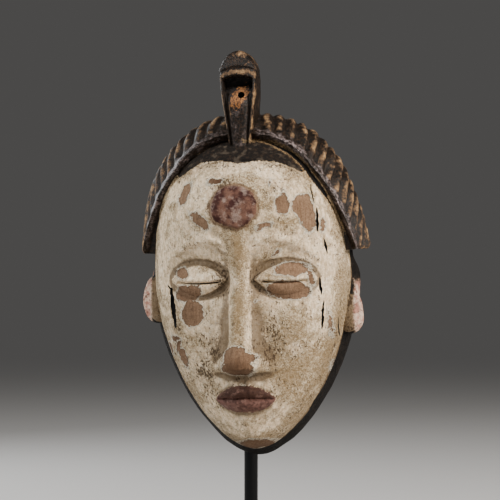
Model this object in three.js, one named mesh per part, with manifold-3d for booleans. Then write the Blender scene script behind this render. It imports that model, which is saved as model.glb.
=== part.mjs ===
// A whitened face mask of carved wood with a black ridged coiffure, held on a steel rod in a square foot.
// Millimetres, +Z up. The origin is the middle of the foot's underside, and the mask faces -Y.
// The mask is carved in a frame of its own: z = 0 at the point of the chin, y = 0 on the plane of the rim.

import * as THREE from 'three';
import { mergeVertices } from 'three/addons/utils/BufferGeometryUtils.js';
import { ParametricGeometry } from 'three/addons/geometries/ParametricGeometry.js';
import Module from 'manifold-3d';

const wasm = await Module();
wasm.setup();

// Head and hollow
const HEAD_TOP = 246.5;
const WIDEST_HEIGHT = 135;
const HALF_WIDTH = 75;
const HEAD_DEPTH = 66;
const SIDE_WALL = 9;
const CROWN_WALL = 13;
const CHIN_WALL = 14;
const FRONT_WALL = 15;
const RIM_ROUND = 1.5;
const COLLAR_FLARE = 5.5;
const COLLAR_LENGTH = 16;
const FACE_HEIGHT = 220;
const HEADBAND_RISE = 1.6;

// Side tresses: depths in front of the rim plane, and distances inwards and outwards from the head's outline.
// Towards its lower end a tress draws back and its front edge moves out to the side of the face.
const TRESS_FRONT = 46;
const TRESS_FRONT_LOW = 29;
const TRESS_BACK = 1.5;
const TRESS_INSET = 10.5;
const TRESS_INSET_LOW = -2.5;
const TRESS_THICKNESS = 11;
const TRESS_SWELL_LEFT = -1.5;
const TRESS_SWELL_RIGHT = 3;
const TRESS_SWELL_LENGTH = 45;
const TRESS_ROOT = 22;
const TRESS_RIDGE = 4.5;
const TRESS_WALL = 4;
const TRESS_BACK_ROUND = 2.5;
const RIB_PITCH = 9.5;
const RIB_DEPTH = 2.8;
const RIB_SLANT = 2.6;

// Crest
const CREST_TOP = 302;
const CREST_FRONT = 50;
const CREST_BACK = 2.5;
const CREST_ASIDE = -2;
const CREST_ROOT = 96;
const CREST_WAIST = 76;
const CREST_WIDEST = 21;
const CREST_FOOT_WIDTH = 17;
const CREST_TOP_WIDTH = 28;
const CREST_CROWN = 21;
const CREST_BOW = 3;
const CREST_HEEL = 14;
const CAP_OVERHANG = 12;
const SPOON_RIM = 3.5;
const SPOON_DEPTH = 9;
const SPOON_SHALLOW = 1.6;
const CREST_HOLE_DIAMETER = 5;
const CREST_HOLE_DEPTH = 7;

// Ears, and the disc raised on the brow
const EAR_MIDDLE = 114;
const EAR_SKEW = 5;
const EAR_HEIGHT = 38;
const EAR_LENGTH = 15;
const EAR_STAND_OFF_LEFT = 11;
const EAR_STAND_OFF_RIGHT = 8;
const EAR_BACK = 2;
const DISC_WIDTH = 35;
const DISC_HEIGHT = 30.5;
const DISC_RISE = 1.8;

// Cracks of age in the wood
const CRACK_DEPTH = 6;
const CRACK_WIDTH = 2.8;

// Stand
const CHIN_ABOVE_TABLE = 110;
const MASK_ASIDE = 7.8;
const MASK_LEAN = THREE.MathUtils.degToRad(1.2);
const ROD_DIAMETER = 10.5;
const ROD_TO_RIM = 2;
const ROD_ARM_HEIGHT = 180;
const ROD_ARM_REACH = 40;
const ROD_LOWER_BEND = 24;
const ROD_UPPER_BEND = 14;
const ROD_END_ROUND = 2;
const FOOT_WIDTH = 140;
const FOOT_THICKNESS = 24;
const FOOT_CORNER = 4;
const FOOT_CHAMFER = 2;
const FOOT_HOLE_DEPTH = 16;
const FIT_CLEARANCE = 0.3;
const REST_CLEARANCE = 1;

// Facets
const HEAD_COLUMNS = 48;
const HEAD_ROWS = 18;
const HOLLOW_COLUMNS = 28;
const HOLLOW_ROWS = 9;
const SECTIONS_PER_RIB = 3;
const TRESS_FACETS = 8;
const CREST_COLUMNS = 16;
const CREST_ROWS = 16;
const SPOON_COLUMNS = 10;
const SPOON_ROWS = 12;
const ROD_SIDES = 12;
const BEND_STEPS = 5;

const { abs, cos, exp, floor, hypot, max, min, PI, pow, round, sign, sin, sqrt } = Math;

function clamp(value, low = 0, high = 1) {
  return min(max(value, low), high);
}

// Rises from 0 to 1 with level ends
function ease(value) {
  const t = clamp(value);
  return t * t * (3 - 2 * t);
}

function blend(from, to, share) {
  return from + (to - from) * share;
}

// A bell of height 1 around a centre
function bell(value, centre, spread) {
  return exp(-pow((value - centre) / spread, 2));
}

// Half of a circle over -1 to 1, of height 1
function arch(value) {
  return sqrt(max(1 - value * value, 0));
}

// A power that keeps the sign of its base
function signed(base, exponent) {
  return sign(base) * pow(abs(base), exponent);
}

// A closed geometry as a solid: seams and poles are merged, and the faces turned to point outwards
function solid(geometry) {
  const bare = geometry.clone();
  bare.deleteAttribute('normal');
  bare.deleteAttribute('uv');
  const merged = mergeVertices(bare);
  const points = merged.attributes.position.array;
  const corners = merged.index.array;
  const kept = [];
  let volume = 0;
  for (let i = 0; i < corners.length; i += 3) {
    const [a, b, c] = [corners[i], corners[i + 1], corners[i + 2]];
    if (a === b || b === c || c === a) continue;
    kept.push([a, b, c]);
    const [p, q, r] = [a, b, c].map((k) => new THREE.Vector3().fromArray(points, 3 * k));
    volume += p.dot(q.cross(r));
  }
  const turned = volume < 0 ? kept.map(([a, b, c]) => [a, c, b]) : kept;
  const triVerts = new Uint32Array(turned.flat());
  return new wasm.Manifold(new wasm.Mesh({ numProp: 3, vertProperties: new Float32Array(points), triVerts }));
}

// A closed surface over u around and v along, both in 0..1, from a function that returns x, y, z
function surface(place, columns, rows) {
  return solid(new ParametricGeometry((u, v, target) => target.set(...place(u, v)), columns, rows));
}

// The named mesh of a solid, with its finish
function piece(name, body, color, roughness, metalness) {
  const { vertProperties, triVerts } = body.getMesh();
  const geometry = new THREE.BufferGeometry();
  geometry.setAttribute('position', new THREE.BufferAttribute(vertProperties, 3));
  geometry.setIndex(new THREE.BufferAttribute(triVerts, 1));
  geometry.computeVertexNormals();
  const mesh = new THREE.Mesh(geometry, new THREE.MeshStandardMaterial({ color, roughness, metalness }));
  mesh.name = name;
  return mesh;
}

// Bluntness of the head's outline above and below its widest height, and of its swell towards the viewer
const ARCH_BLUNTNESS = 2.4;
const JAW_BLUNTNESS = 1.7;
const DOME_BLUNTNESS = 2.5;

// A point of the head's outline, from its widest height: a blunt arch above, a pointed oval below
function outline(turn, halfWidth, above, below) {
  const up = cos(turn) >= 0;
  const bluntness = up ? ARCH_BLUNTNESS : JAW_BLUNTNESS;
  return [halfWidth * signed(sin(turn), 2 / bluntness), (up ? above : below) * signed(cos(turn), 2 / bluntness)];
}

// How far the head reaches above and below its widest height, inside its flaring collar
const HEAD_ABOVE = HEAD_TOP - WIDEST_HEIGHT;
const HEAD_BELOW = WIDEST_HEIGHT - COLLAR_FLARE + RIM_ROUND;

function headOutline(turn) {
  return outline(turn, HALF_WIDTH, HEAD_ABOVE, HEAD_BELOW);
}

// How far a place on the face lies from its middle, as a share of the way to the outline
function spreadAt(x, z) {
  const up = z > WIDEST_HEIGHT;
  const bluntness = up ? ARCH_BLUNTNESS : JAW_BLUNTNESS;
  const reach = up ? HEAD_ABOVE : HEAD_BELOW;
  return pow(pow(abs(x) / HALF_WIDTH, bluntness) + pow(abs(z - WIDEST_HEIGHT) / reach, bluntness), 1 / bluntness);
}

// How high a dome still stands, as a share, at a share of the way to its edge
function standing(spread) {
  return pow(1 - pow(clamp(spread), DOME_BLUNTNESS), 1 / DOME_BLUNTNESS);
}

// Broad swellings of the face: place and spread as shares of half width and face height, rise in millimetres
const SWELLINGS = {
  forehead: { x: 0, z: 0.865, wide: 0.8, tall: 0.18, rise: 15 },
  socket: { x: 0.44, z: 0.62, wide: 0.32, tall: 0.085, rise: -7 },
  cheek: { x: 0.56, z: 0.44, wide: 0.27, tall: 0.12, rise: 4 },
  muzzle: { x: 0, z: 0.215, wide: 0.37, tall: 0.09, rise: 7 },
  chin: { x: 0, z: 0.075, wide: 0.27, tall: 0.055, rise: 7 },
};

function swelling(form, x, z) {
  return form.rise * bell(abs(x) / HALF_WIDTH, form.x, form.wide) * bell(z / FACE_HEIGHT, form.z, form.tall);
}

// Height of the lower edge of the carved hair, at a distance from the middle line
const HAIRLINE_BLUNTNESS = 2.3;

function hairline(x) {
  const side = pow(clamp(abs(x) / HALF_WIDTH), HAIRLINE_BLUNTNESS);
  return blend(WIDEST_HEIGHT, FACE_HEIGHT, pow(1 - side, 1 / HAIRLINE_BLUNTNESS));
}

// Depth of the face in front of the rim plane, without its features
function faceDepth(x, z) {
  const rise = Object.values(SWELLINGS).reduce((sum, form) => sum + swelling(form, x, z), 0);
  const band = HEADBAND_RISE * ease((z - hairline(x)) / HEADBAND_RISE);
  const stands = standing(spreadAt(x, z));
  return blend(RIM_ROUND, HEAD_DEPTH, stands) + (rise + band) * ease(3 * stands);
}

// How far the collar flares out, at a depth in front of the rim plane
function collar(depth, z) {
  const below = ease((WIDEST_HEIGHT + COLLAR_LENGTH - z) / COLLAR_LENGTH);
  return COLLAR_FLARE * ease(1 - depth / COLLAR_LENGTH) * below;
}

// The head: a dome over the outline that flares to a rounded rim and is flat behind
function head() {
  const rows = HEAD_ROWS + 2;
  return surface((u, v) => {
    const row = round(v * rows);
    const [x0, z0] = headOutline(2 * PI * u);
    const reach = hypot(x0, z0);
    const turn = PI / 2 * clamp(row / HEAD_ROWS);
    const spread = row === rows ? 0 : pow(sin(turn), 2 / DOME_BLUNTNESS);
    const [x, z] = [x0 * spread, WIDEST_HEIGHT + z0 * spread];
    const depth = row > HEAD_ROWS ? 0 : faceDepth(x, z);
    const outwards = row === rows ? 0 : collar(depth, z) - (row > HEAD_ROWS ? RIM_ROUND : 0);
    return [x + outwards * x0 / reach, -depth, z + outwards * z0 / reach];
  }, HEAD_COLUMNS, rows);
}

const HOLLOW = {
  halfWidth: HALF_WIDTH - SIDE_WALL,
  above: HEAD_ABOVE - CROWN_WALL,
  below: HEAD_BELOW - CHIN_WALL,
  depth: HEAD_DEPTH - FRONT_WALL,
};

// The hollow behind the face, open at the back, which follows the forehead
function hollow() {
  const rows = HOLLOW_ROWS + 2;
  return surface((u, v) => {
    const row = round(v * rows);
    const [x0, z0] = outline(2 * PI * u, HOLLOW.halfWidth, HOLLOW.above, HOLLOW.below);
    const spread = row === rows ? 0 : pow(sin(PI / 2 * clamp(row / HOLLOW_ROWS)), 2 / DOME_BLUNTNESS);
    const [x, z] = [x0 * spread, WIDEST_HEIGHT + z0 * spread];
    if (row > HOLLOW_ROWS) return [x, RIM_ROUND, z];
    const stands = standing(spread);
    return [x, -HOLLOW.depth * stands - swelling(SWELLINGS.forehead, x, z) * ease(3 * stands), z];
  }, HOLLOW_COLUMNS, rows);
}

// Height of the hollow's ceiling at a place inside it
function ceiling(x, y) {
  const spread = pow(1 - pow(clamp(abs(y) / HOLLOW.depth), DOME_BLUNTNESS), 1 / DOME_BLUNTNESS);
  const above = pow(spread, ARCH_BLUNTNESS) - pow(clamp(abs(x) / HOLLOW.halfWidth), ARCH_BLUNTNESS);
  return WIDEST_HEIGHT + HOLLOW.above * pow(max(above, 0), 1 / ARCH_BLUNTNESS);
}

// A form laid on the face. section(t), t in 0..1 along it, gives its middle x and z, its half width and its rise.
// It is measured across along x for an upright form, and along z for a level one.
const SINK = 3;

function onFace(upright, section, columns, rows, bluntness = 1) {
  return surface((u, v) => {
    const { x, z, half, rise } = section(v);
    const across = half * cos(2 * PI * u);
    const [px, pz] = upright ? [x + across, z] : [x, z + across];
    const out = sin(2 * PI * u);
    const height = (out > 0 ? rise : SINK * clamp(rise)) * signed(out, bluntness);
    return [px, -faceDepth(px, pz) - height, pz];
  }, columns, rows);
}

// The features, as shares of the half width and the face height, with rises in millimetres
const NOSE = { root: 0.69, base: 0.3, rootHalf: 0.08, baseHalf: 0.15, rootRise: 4, tipRise: 22 };
const WING = { x: 0.14, z: 0.33, half: 0.075, rise: 10 };
const BROW = { inner: 0.1, outer: 0.8, z: 0.695, arc: 0.055, half: 0.013, rise: 2.5 };
const EYE = { inner: 0.13, outer: 0.73, z: 0.605, half: 0.05, rise: 8, slit: 0.006 };
const MOUTH = { half: 0.3, z: 0.21, upper: 0.045, lower: 0.05, rise: 6 };
const DISC = { x: -0.033, z: 0.8436 };

// A long straight nose that widens and rises to its tip
function nose() {
  return onFace(true, (t) => {
    const ends = arch(1 - clamp(t / 0.25)) * arch(clamp((t - 0.9) / 0.1));
    return {
      x: 0,
      z: FACE_HEIGHT * blend(NOSE.root, NOSE.base, t),
      half: HALF_WIDTH * blend(NOSE.rootHalf, NOSE.baseHalf, pow(t, 1.5)) * ends,
      rise: blend(NOSE.rootRise, NOSE.tipRise, pow(t, 1.2)) * ends,
    };
  }, 12, 10);
}

function wing(side) {
  return onFace(true, (t) => ({
    x: side * HALF_WIDTH * WING.x,
    z: FACE_HEIGHT * WING.z + HALF_WIDTH * WING.half * 1.3 * cos(PI * t),
    half: HALF_WIDTH * WING.half * sin(PI * t),
    rise: WING.rise * sin(PI * t),
  }), 8, 5);
}

// A thin raised arc over each eye
function brow(side) {
  return onFace(false, (t) => ({
    x: side * HALF_WIDTH * blend(BROW.inner, BROW.outer, t),
    z: FACE_HEIGHT * (BROW.z + BROW.arc * (sin(PI * pow(t, 0.8)) - 0.6 * t)),
    half: FACE_HEIGHT * BROW.half * arch(2 * t - 1),
    rise: BROW.rise * arch(2 * t - 1),
  }), 6, 8);
}

// A closed almond lid
function lid(side) {
  return onFace(false, (t) => {
    const taper = 1 - pow(2 * t - 1, 2);
    const x = side * HALF_WIDTH * blend(EYE.inner, EYE.outer, t);
    return { x, z: FACE_HEIGHT * EYE.z, half: FACE_HEIGHT * EYE.half * taper, rise: EYE.rise * pow(taper, 0.5) };
  }, 12, 8);
}

// The narrow slit between the lids, sunk in but not through the wall
function slit(side) {
  const cut = new THREE.SphereGeometry(1, 12, 4);
  const middle = blend(EYE.inner, EYE.outer, 0.5) * HALF_WIDTH;
  const height = (EYE.z - EYE.half * 0.15) * FACE_HEIGHT;
  cut.scale(HALF_WIDTH * (EYE.outer - EYE.inner) * 0.38, SINK, FACE_HEIGHT * EYE.slit);
  cut.translate(side * middle, -faceDepth(middle, height) - EYE.rise, height);
  return solid(cut);
}

// One of two full lips that meet on a level line
function lip(up, full) {
  return onFace(false, (t) => {
    const taper = pow(1 - pow(2 * t - 1, 2), 0.75);
    const half = FACE_HEIGHT * full * taper / 2;
    const x = HALF_WIDTH * MOUTH.half * (2 * t - 1);
    return { x, z: FACE_HEIGHT * MOUTH.z + up * half * 0.9, half, rise: MOUTH.rise * taper };
  }, 10, 8);
}

// The low disc on the brow, with a blunt edge
function disc() {
  return onFace(false, (t) => ({
    x: HALF_WIDTH * DISC.x + DISC_WIDTH / 2 * -cos(PI * t),
    z: FACE_HEIGHT * DISC.z,
    half: DISC_HEIGHT / 2 * sin(PI * t),
    rise: DISC_RISE * pow(sin(PI * t), 0.3),
  }), 10, 12, 0.5);
}

// Stations along the outline from the crest to a tress's blunt lower end, evenly spaced, with their outward sides
const TRESS_TURN = { from: 1, to: 83.5, steps: 200 };

function tressStations(count) {
  const turns = Array.from({ length: TRESS_TURN.steps }, (_, i) => i / (TRESS_TURN.steps - 1));
  const path = new THREE.CatmullRomCurve3(turns.map((share) => {
    const [x, z] = headOutline(THREE.MathUtils.degToRad(blend(TRESS_TURN.from, TRESS_TURN.to, share)));
    return new THREE.Vector3(x, 0, WIDEST_HEIGHT + z);
  }));
  path.arcLengthDivisions = 4 * TRESS_TURN.steps;
  const length = path.getLength();
  return Array.from({ length: count + 1 }, (_, i) => {
    const tangent = path.getTangentAt(i / count);
    return { at: path.getPointAt(i / count), out: [-tangent.z, tangent.x], along: length * i / count };
  });
}

// One thick tress: a tapering section with slanting carved ribs and a smooth front ridge, carried along the outline
const TRESS_SHAPE = { taper: 0.48, widest: 0.72, smooth: 0.05, carved: 0.15 };

function tress(side, swell) {
  const length = tressStations(1)[1].along;
  const count = round(SECTIONS_PER_RIB * length / RIB_PITCH);
  const stations = tressStations(count);
  const rows = count + 2;
  const section = (k, along) => {
    const low = pow(clamp((along / length - TRESS_SHAPE.taper) / (1 - TRESS_SHAPE.taper)), 1.2);
    const inset = blend(TRESS_INSET, TRESS_INSET_LOW, low);
    const front = blend(TRESS_FRONT, TRESS_FRONT_LOW, low);
    const inner = [[-TRESS_RIDGE, -TRESS_BACK], [-TRESS_ROOT, -front / 2],
      [-inset - TRESS_ROOT / 2, TRESS_WALL - front], [-inset, TRESS_WALL - front]];
    if (k > TRESS_FACETS) return inner[k - TRESS_FACETS - 1];
    const v = k / TRESS_FACETS;
    const thickness = TRESS_THICKNESS + swell * ease(1 - (length - along) / TRESS_SWELL_LENGTH);
    const turned = ease((v - TRESS_SHAPE.widest) / (1 - TRESS_SHAPE.widest));
    const full = blend(TRESS_RIDGE - inset, thickness, sin(clamp(v / TRESS_SHAPE.widest) * PI / 2));
    const phase = along / RIB_PITCH + RIB_SLANT * v;
    const rib = arch(2 * (phase - floor(phase)) - 1) - 0.78;
    const fade = ease((v - TRESS_SHAPE.smooth) / (TRESS_SHAPE.carved - TRESS_SHAPE.smooth)) * ease(along / RIB_PITCH);
    return [full - TRESS_BACK_ROUND * turned + RIB_DEPTH * rib * fade, blend(-front, -TRESS_BACK, v)];
  };
  const sides = TRESS_FACETS + 5;
  return surface((u, v) => {
    const row = round(v * rows);
    const { at, out, along } = stations[clamp(row - 1, 0, count)];
    const closed = row === 0 || row === rows;
    const [outwards, y] = closed ? [0, -TRESS_FRONT_LOW / 2] : section(round(u * sides) % sides, along);
    return [side * (at.x + outwards * out[0]), y, at.z + outwards * out[1]];
  }, sides, rows);
}

// Heights of the crest's buried foot, where it starts to widen, and where it is widest
const CREST = { foot: CREST_TOP - CREST_ROOT, waist: CREST_TOP - CREST_WAIST, wide: CREST_TOP - CREST_WIDEST };

// How far the crest has widened at a height, as a share
function crestGrowth(z) {
  return ease((z - CREST.waist) / (CREST.wide - CREST.waist));
}

function crestHalf(z) {
  return blend(CREST_FOOT_WIDTH, CREST_TOP_WIDTH, crestGrowth(z)) / 2;
}

// The crest: a keel that widens upwards to a rounded crown, wide in front and narrower behind
function crest() {
  return surface((u, v) => {
    if (v === 0) return [CREST_ASIDE, -CREST_FRONT / 2, CREST.foot];
    const t = clamp((v * CREST_ROWS - 1) / (CREST_ROWS - 1));
    const z = blend(CREST.foot, CREST_TOP, pow(sin(t * PI / 2), 0.9));
    const close = arch(clamp((z - CREST_TOP + CREST_CROWN) / CREST_CROWN));
    const front = -CREST_FRONT - CREST_BOW * crestGrowth(z) + CAP_OVERHANG * (1 - close);
    const heel = CREST_HEEL * ease((z - HEAD_TOP) / (CREST_TOP - HEAD_TOP));
    const back = -CREST_BACK - heel - CAP_OVERHANG * (1 - close);
    const forward = cos(2 * PI * u);
    const halfWidth = crestHalf(z) * close * (1 - 0.3 * ease(-forward));
    const depth = (back - front) / 2 * signed(forward, 0.7);
    return [CREST_ASIDE + halfWidth * signed(sin(2 * PI * u), 0.62), (front + back) / 2 - depth, z];
  }, CREST_COLUMNS, CREST_ROWS);
}

// The hollow of the crest's front, like the bowl of a spoon under an overhanging cap
function spoon() {
  const bottom = CREST.waist - SPOON_DEPTH / 2;
  const top = CREST_TOP - CAP_OVERHANG;
  return surface((u, v) => {
    const z = blend(bottom, top, v);
    const close = arch(clamp(1 - (top - z) / CAP_OVERHANG)) * ease((z - bottom) / SPOON_DEPTH);
    const depth = blend(SPOON_SHALLOW, SPOON_DEPTH, crestGrowth(z)) * close;
    const turn = 2 * PI * u;
    const half = (crestHalf(z) - SPOON_RIM) * close;
    return [CREST_ASIDE + half * sin(turn), -CREST_FRONT - CREST_BOW - depth * cos(turn), z];
  }, SPOON_COLUMNS, SPOON_ROWS);
}

// The small round hole at the bottom of the spoon
function crestHole() {
  const length = SPOON_DEPTH + CREST_HOLE_DEPTH;
  const hole = new THREE.CylinderGeometry(CREST_HOLE_DIAMETER / 2, CREST_HOLE_DIAMETER / 2, length, ROD_SIDES);
  hole.translate(0, length / 2 - CREST_FRONT, CREST.wide - CAP_OVERHANG);
  return solid(hole);
}

// A plain ear: an oval ridge that stands off the side of the head just before the rim
function ear(side, standOff) {
  return surface((u, v) => {
    const turn = 2 * PI * u;
    const swell = sin(PI * v);
    const x = HALF_WIDTH - SINK + (standOff + SINK) * swell * sin(turn);
    const z = EAR_MIDDLE - side * EAR_SKEW + EAR_HEIGHT / 2 * cos(PI * v);
    return [side * x, -EAR_BACK - EAR_LENGTH / 2 * (1 + swell * cos(turn)), z];
  }, 10, 6);
}

// The open cracks, each from its upper to its lower end as shares of the half width and the face height,
// with its greatest width as a share of the widest crack's
const CRACKS = [
  { from: [-0.731, 0.566], to: [-0.697, 0.445], width: 1 },
  { from: [0.673, 0.918], to: [0.709, 0.85], width: 0.36 },
  { from: [0.737, 0.839], to: [0.743, 0.757], width: 0.79 },
  { from: [0.795, 0.736], to: [0.821, 0.684], width: 0.64 },
  { from: [0.743, 0.607], to: [0.759, 0.548], width: 0.79 },
  { from: [0.777, 0.53], to: [0.751, 0.432], width: 0.68 },
];

// A crack is a ragged wedge that follows the face and ends inside the wall
function crack({ from, to, width }) {
  const [top, bottom] = [from, to].map(([x, z]) => [HALF_WIDTH * x, FACE_HEIGHT * z]);
  return surface((u, v) => {
    const turn = 2 * PI * u;
    const gape = sin(PI * v);
    const gap = CRACK_WIDTH * width * gape;
    const middle = blend(top[0], bottom[0], v);
    const x = middle + gap * (0.4 * sin(9 * v + 60 * from[0]) + cos(turn) / 2);
    const z = blend(top[1], bottom[1], v);
    return [x, CRACK_DEPTH * sin(turn) * gape - faceDepth(middle, z), z];
  }, 5, 6);
}

const raised = [tress(1, TRESS_SWELL_RIGHT), tress(-1, TRESS_SWELL_LEFT), crest(),
  ear(1, EAR_STAND_OFF_RIGHT), ear(-1, EAR_STAND_OFF_LEFT), nose(), wing(1), wing(-1), brow(1), brow(-1),
  lid(1), lid(-1), lip(1, MOUTH.upper), lip(-1, MOUTH.lower), disc()];
const cuts = [hollow(), spoon(), crestHole(), slit(1), slit(-1), ...CRACKS.map(crack)];
const whole = raised.reduce((body, form) => body.add(form), head());
const mask = piece('mask', cuts.reduce((body, cut) => body.subtract(cut), whole), 0xcdc1af, 0.75, 0);

// The mask hangs in front of the rod, a little aside and leaning
const held = new THREE.Group();
held.position.set(MASK_ASIDE, -ROD_DIAMETER / 2 - ROD_TO_RIM, CHIN_ABOVE_TABLE);
held.rotation.y = -MASK_LEAN;
held.add(mask);
held.updateMatrixWorld(true);

// The rod's middle line in the plane x = 0, as y, z and the turn of its section: up behind the chin,
// forward into the hollow, and up to just below its ceiling
function rodLine() {
  const arm = CHIN_ABOVE_TABLE + ROD_ARM_HEIGHT;
  const radius = ROD_DIAMETER / 2;
  const tip = held.worldToLocal(new THREE.Vector3(0, -ROD_ARM_REACH, arm));
  tip.z = ceiling(abs(tip.x) + radius, abs(tip.y) + radius);
  const top = held.localToWorld(tip).z - REST_CLEARANCE;
  const line = [[0, FOOT_THICKNESS - FOOT_HOLE_DEPTH + FIT_CLEARANCE, 0]];
  for (let i = 0; i <= BEND_STEPS; i += 1) {
    const turn = PI / 2 * i / BEND_STEPS;
    line.push([-ROD_LOWER_BEND * (1 - cos(turn)), arm - ROD_LOWER_BEND * (1 - sin(turn)), turn]);
  }
  for (let i = BEND_STEPS; i >= 0; i -= 1) {
    const turn = PI / 2 * i / BEND_STEPS;
    line.push([ROD_UPPER_BEND * (1 - cos(turn)) - ROD_ARM_REACH, arm + ROD_UPPER_BEND * (1 - sin(turn)), turn]);
  }
  line.push([-ROD_ARM_REACH, top, 0]);
  return line;
}

function rod() {
  const line = rodLine();
  const radius = ROD_DIAMETER / 2;
  const [first, last] = [line[0], line[line.length - 1]];
  const rings = [[first, 0, 0], [first, 0, radius - ROD_END_ROUND / 2], [first, ROD_END_ROUND / 2, radius],
    ...line.slice(1, -1).map((station) => [station, 0, radius]),
    [last, -ROD_END_ROUND, radius], [last, 0, radius - ROD_END_ROUND], [last, 0, 0]];
  return surface((u, v) => {
    const [[y, z, turn], lift, size] = rings[round(v * (rings.length - 1))];
    const angle = 2 * PI * u;
    return [size * cos(angle), y + size * sin(angle) * cos(turn), z + lift + size * sin(angle) * sin(turn)];
  }, ROD_SIDES, rings.length - 1);
}

// The foot: a square block with softened edges and a blind hole for the rod
function foot() {
  const half = FOOT_WIDTH / 2 - FOOT_CHAMFER;
  const inner = half - FOOT_CORNER;
  const shape = new THREE.Shape();
  shape.moveTo(half, inner);
  shape.absarc(inner, inner, FOOT_CORNER, 0, PI / 2);
  shape.absarc(-inner, inner, FOOT_CORNER, PI / 2, PI);
  shape.absarc(-inner, -inner, FOOT_CORNER, PI, 3 * PI / 2);
  shape.absarc(inner, -inner, FOOT_CORNER, 3 * PI / 2, 2 * PI);
  const block = new THREE.ExtrudeGeometry(shape, {
    depth: FOOT_THICKNESS - 2 * FOOT_CHAMFER,
    bevelThickness: FOOT_CHAMFER,
    bevelSize: FOOT_CHAMFER,
    bevelSegments: 1,
    curveSegments: 3,
  });
  block.translate(0, 0, FOOT_CHAMFER);
  const holeRadius = ROD_DIAMETER / 2 + FIT_CLEARANCE;
  const hole = new THREE.CylinderGeometry(holeRadius, holeRadius, 2 * FOOT_HOLE_DEPTH, ROD_SIDES);
  hole.rotateY(PI / 2);
  hole.rotateX(PI / 2);
  hole.translate(0, 0, FOOT_THICKNESS);
  return solid(block).subtract(solid(hole));
}

const group = new THREE.Group();
group.add(held);
group.add(piece('stand_rod', rod(), 0x0f1214, 0.3, 0.6));
group.add(piece('stand_base', foot(), 0x14110f, 0.35, 0));

export default group;
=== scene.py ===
import math

import bpy
import numpy as np
from mathutils import Matrix, Vector


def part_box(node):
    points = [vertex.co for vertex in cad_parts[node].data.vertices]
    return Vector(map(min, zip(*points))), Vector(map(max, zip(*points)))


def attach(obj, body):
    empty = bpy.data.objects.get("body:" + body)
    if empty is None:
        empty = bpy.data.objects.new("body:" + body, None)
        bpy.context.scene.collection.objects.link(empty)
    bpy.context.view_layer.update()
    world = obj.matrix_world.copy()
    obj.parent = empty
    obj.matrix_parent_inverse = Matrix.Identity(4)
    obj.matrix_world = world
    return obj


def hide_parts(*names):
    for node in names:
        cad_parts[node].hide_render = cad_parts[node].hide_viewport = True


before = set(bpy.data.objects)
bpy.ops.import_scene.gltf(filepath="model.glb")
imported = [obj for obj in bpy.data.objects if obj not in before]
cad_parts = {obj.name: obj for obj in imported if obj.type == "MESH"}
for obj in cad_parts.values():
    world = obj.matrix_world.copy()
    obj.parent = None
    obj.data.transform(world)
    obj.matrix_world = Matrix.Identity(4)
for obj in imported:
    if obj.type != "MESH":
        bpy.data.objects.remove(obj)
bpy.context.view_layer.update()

# Camera
# It stands level with the face and 10 degrees round to the mask's own left, 1.4 m away, with the mask across
# four fifths of the picture's height. CHIN is where the chin's point stands, in millimetres.

CHIN = (7.8, -7.25, 110)
CAMERA_TURN = math.radians(10)
CAMERA_AWAY = 1.4
AIM_RIGHT = -0.00724
AIM_UP = 0.1544
LENS = 132.3
FILM_WIDTH = 36


def place_camera():
    """The camera of the photograph: it looks level, along a line 10 degrees from the mask's own."""
    right = Vector((math.cos(CAMERA_TURN), math.sin(CAMERA_TURN), 0))
    back = Vector((math.sin(CAMERA_TURN), -math.cos(CAMERA_TURN), 0))
    up = Vector((0, 0, 1))
    aim = Vector([value / 1000 for value in CHIN]) + AIM_RIGHT * right + AIM_UP * up
    spot = aim + CAMERA_AWAY * back
    lens = bpy.data.cameras.new("camera")
    lens.sensor_width = FILM_WIDTH
    lens.lens = LENS
    camera = bpy.data.objects.new("camera", lens)
    camera.matrix_world = Matrix((
        (right.x, up.x, back.x, spot.x),
        (right.y, up.y, back.y, spot.y),
        (right.z, up.z, back.z, spot.z),
        (0, 0, 0, 1),
    ))
    bpy.context.scene.collection.objects.link(camera)
    bpy.context.scene.camera = camera


place_camera()

# Mask: the carved form
# Face, ears, collar, tresses, crest and the disc on the brow are cut from one block of light wood, hollow
# behind. It is shaped here in millimetres in its own frame, with the chin's point at z = 0 and the rim on
# y = 0. The head is widest at the height WIDEST, and its collar flares over the last FLARE_LENGTH.

HEAD_TOP = 246.5
WIDEST = 135.0
HALF_WIDTH = 75.0
HEAD_DEPTH = 66.0
RIM = 1.5
FLARE = 5.5
FLARE_LENGTH = 16.0
FACE_HEIGHT = 220.0
ABOVE = HEAD_TOP - WIDEST
BELOW = WIDEST - FLARE + RIM
HAIR_RISE = 1.6
NOSE_ROOT = 152.0
NOSE_LENGTH = 86.0
NOSE_TIP = 72.5
EYE_ASIDE = 32.25
EYE_HALF = 22.5
EYE_LEVEL = 133.0
SLIT_LEVEL = 130.6
LID_HALF = 11.5
MOUTH_LEVEL = 46.2
MOUTH_HALF = 22.5
UPPER_LIP = 10.0
LOWER_LIP = 11.0
DISC_ASIDE = -2.5
DISC_LEVEL = 185.6
DISC_HALF_WIDTH = 17.5
DISC_HALF_HEIGHT = 15.3


def ease(t):
    """Rises from 0 to 1 with level ends: 3 t squared less 2 t cubed."""
    t = np.clip(t, 0.0, 1.0)
    return t * t * (3.0 - 2.0 * t)


def arch(t):
    """Half of a circle over -1 to 1: the root of 1 less t squared."""
    return np.sqrt(np.clip(1.0 - t * t, 0.0, 1.0))


def bell(t, centre, spread):
    """A bell of height 1: e to minus the square of the distance in spreads."""
    return np.exp(-((t - centre) / spread) ** 2)


def blend(low, high, share):
    """The straight mix of two values."""
    return low + (high - low) * share


def signed(base, power):
    """A power that keeps the sign of its base."""
    return np.sign(base) * np.abs(base) ** power


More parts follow.
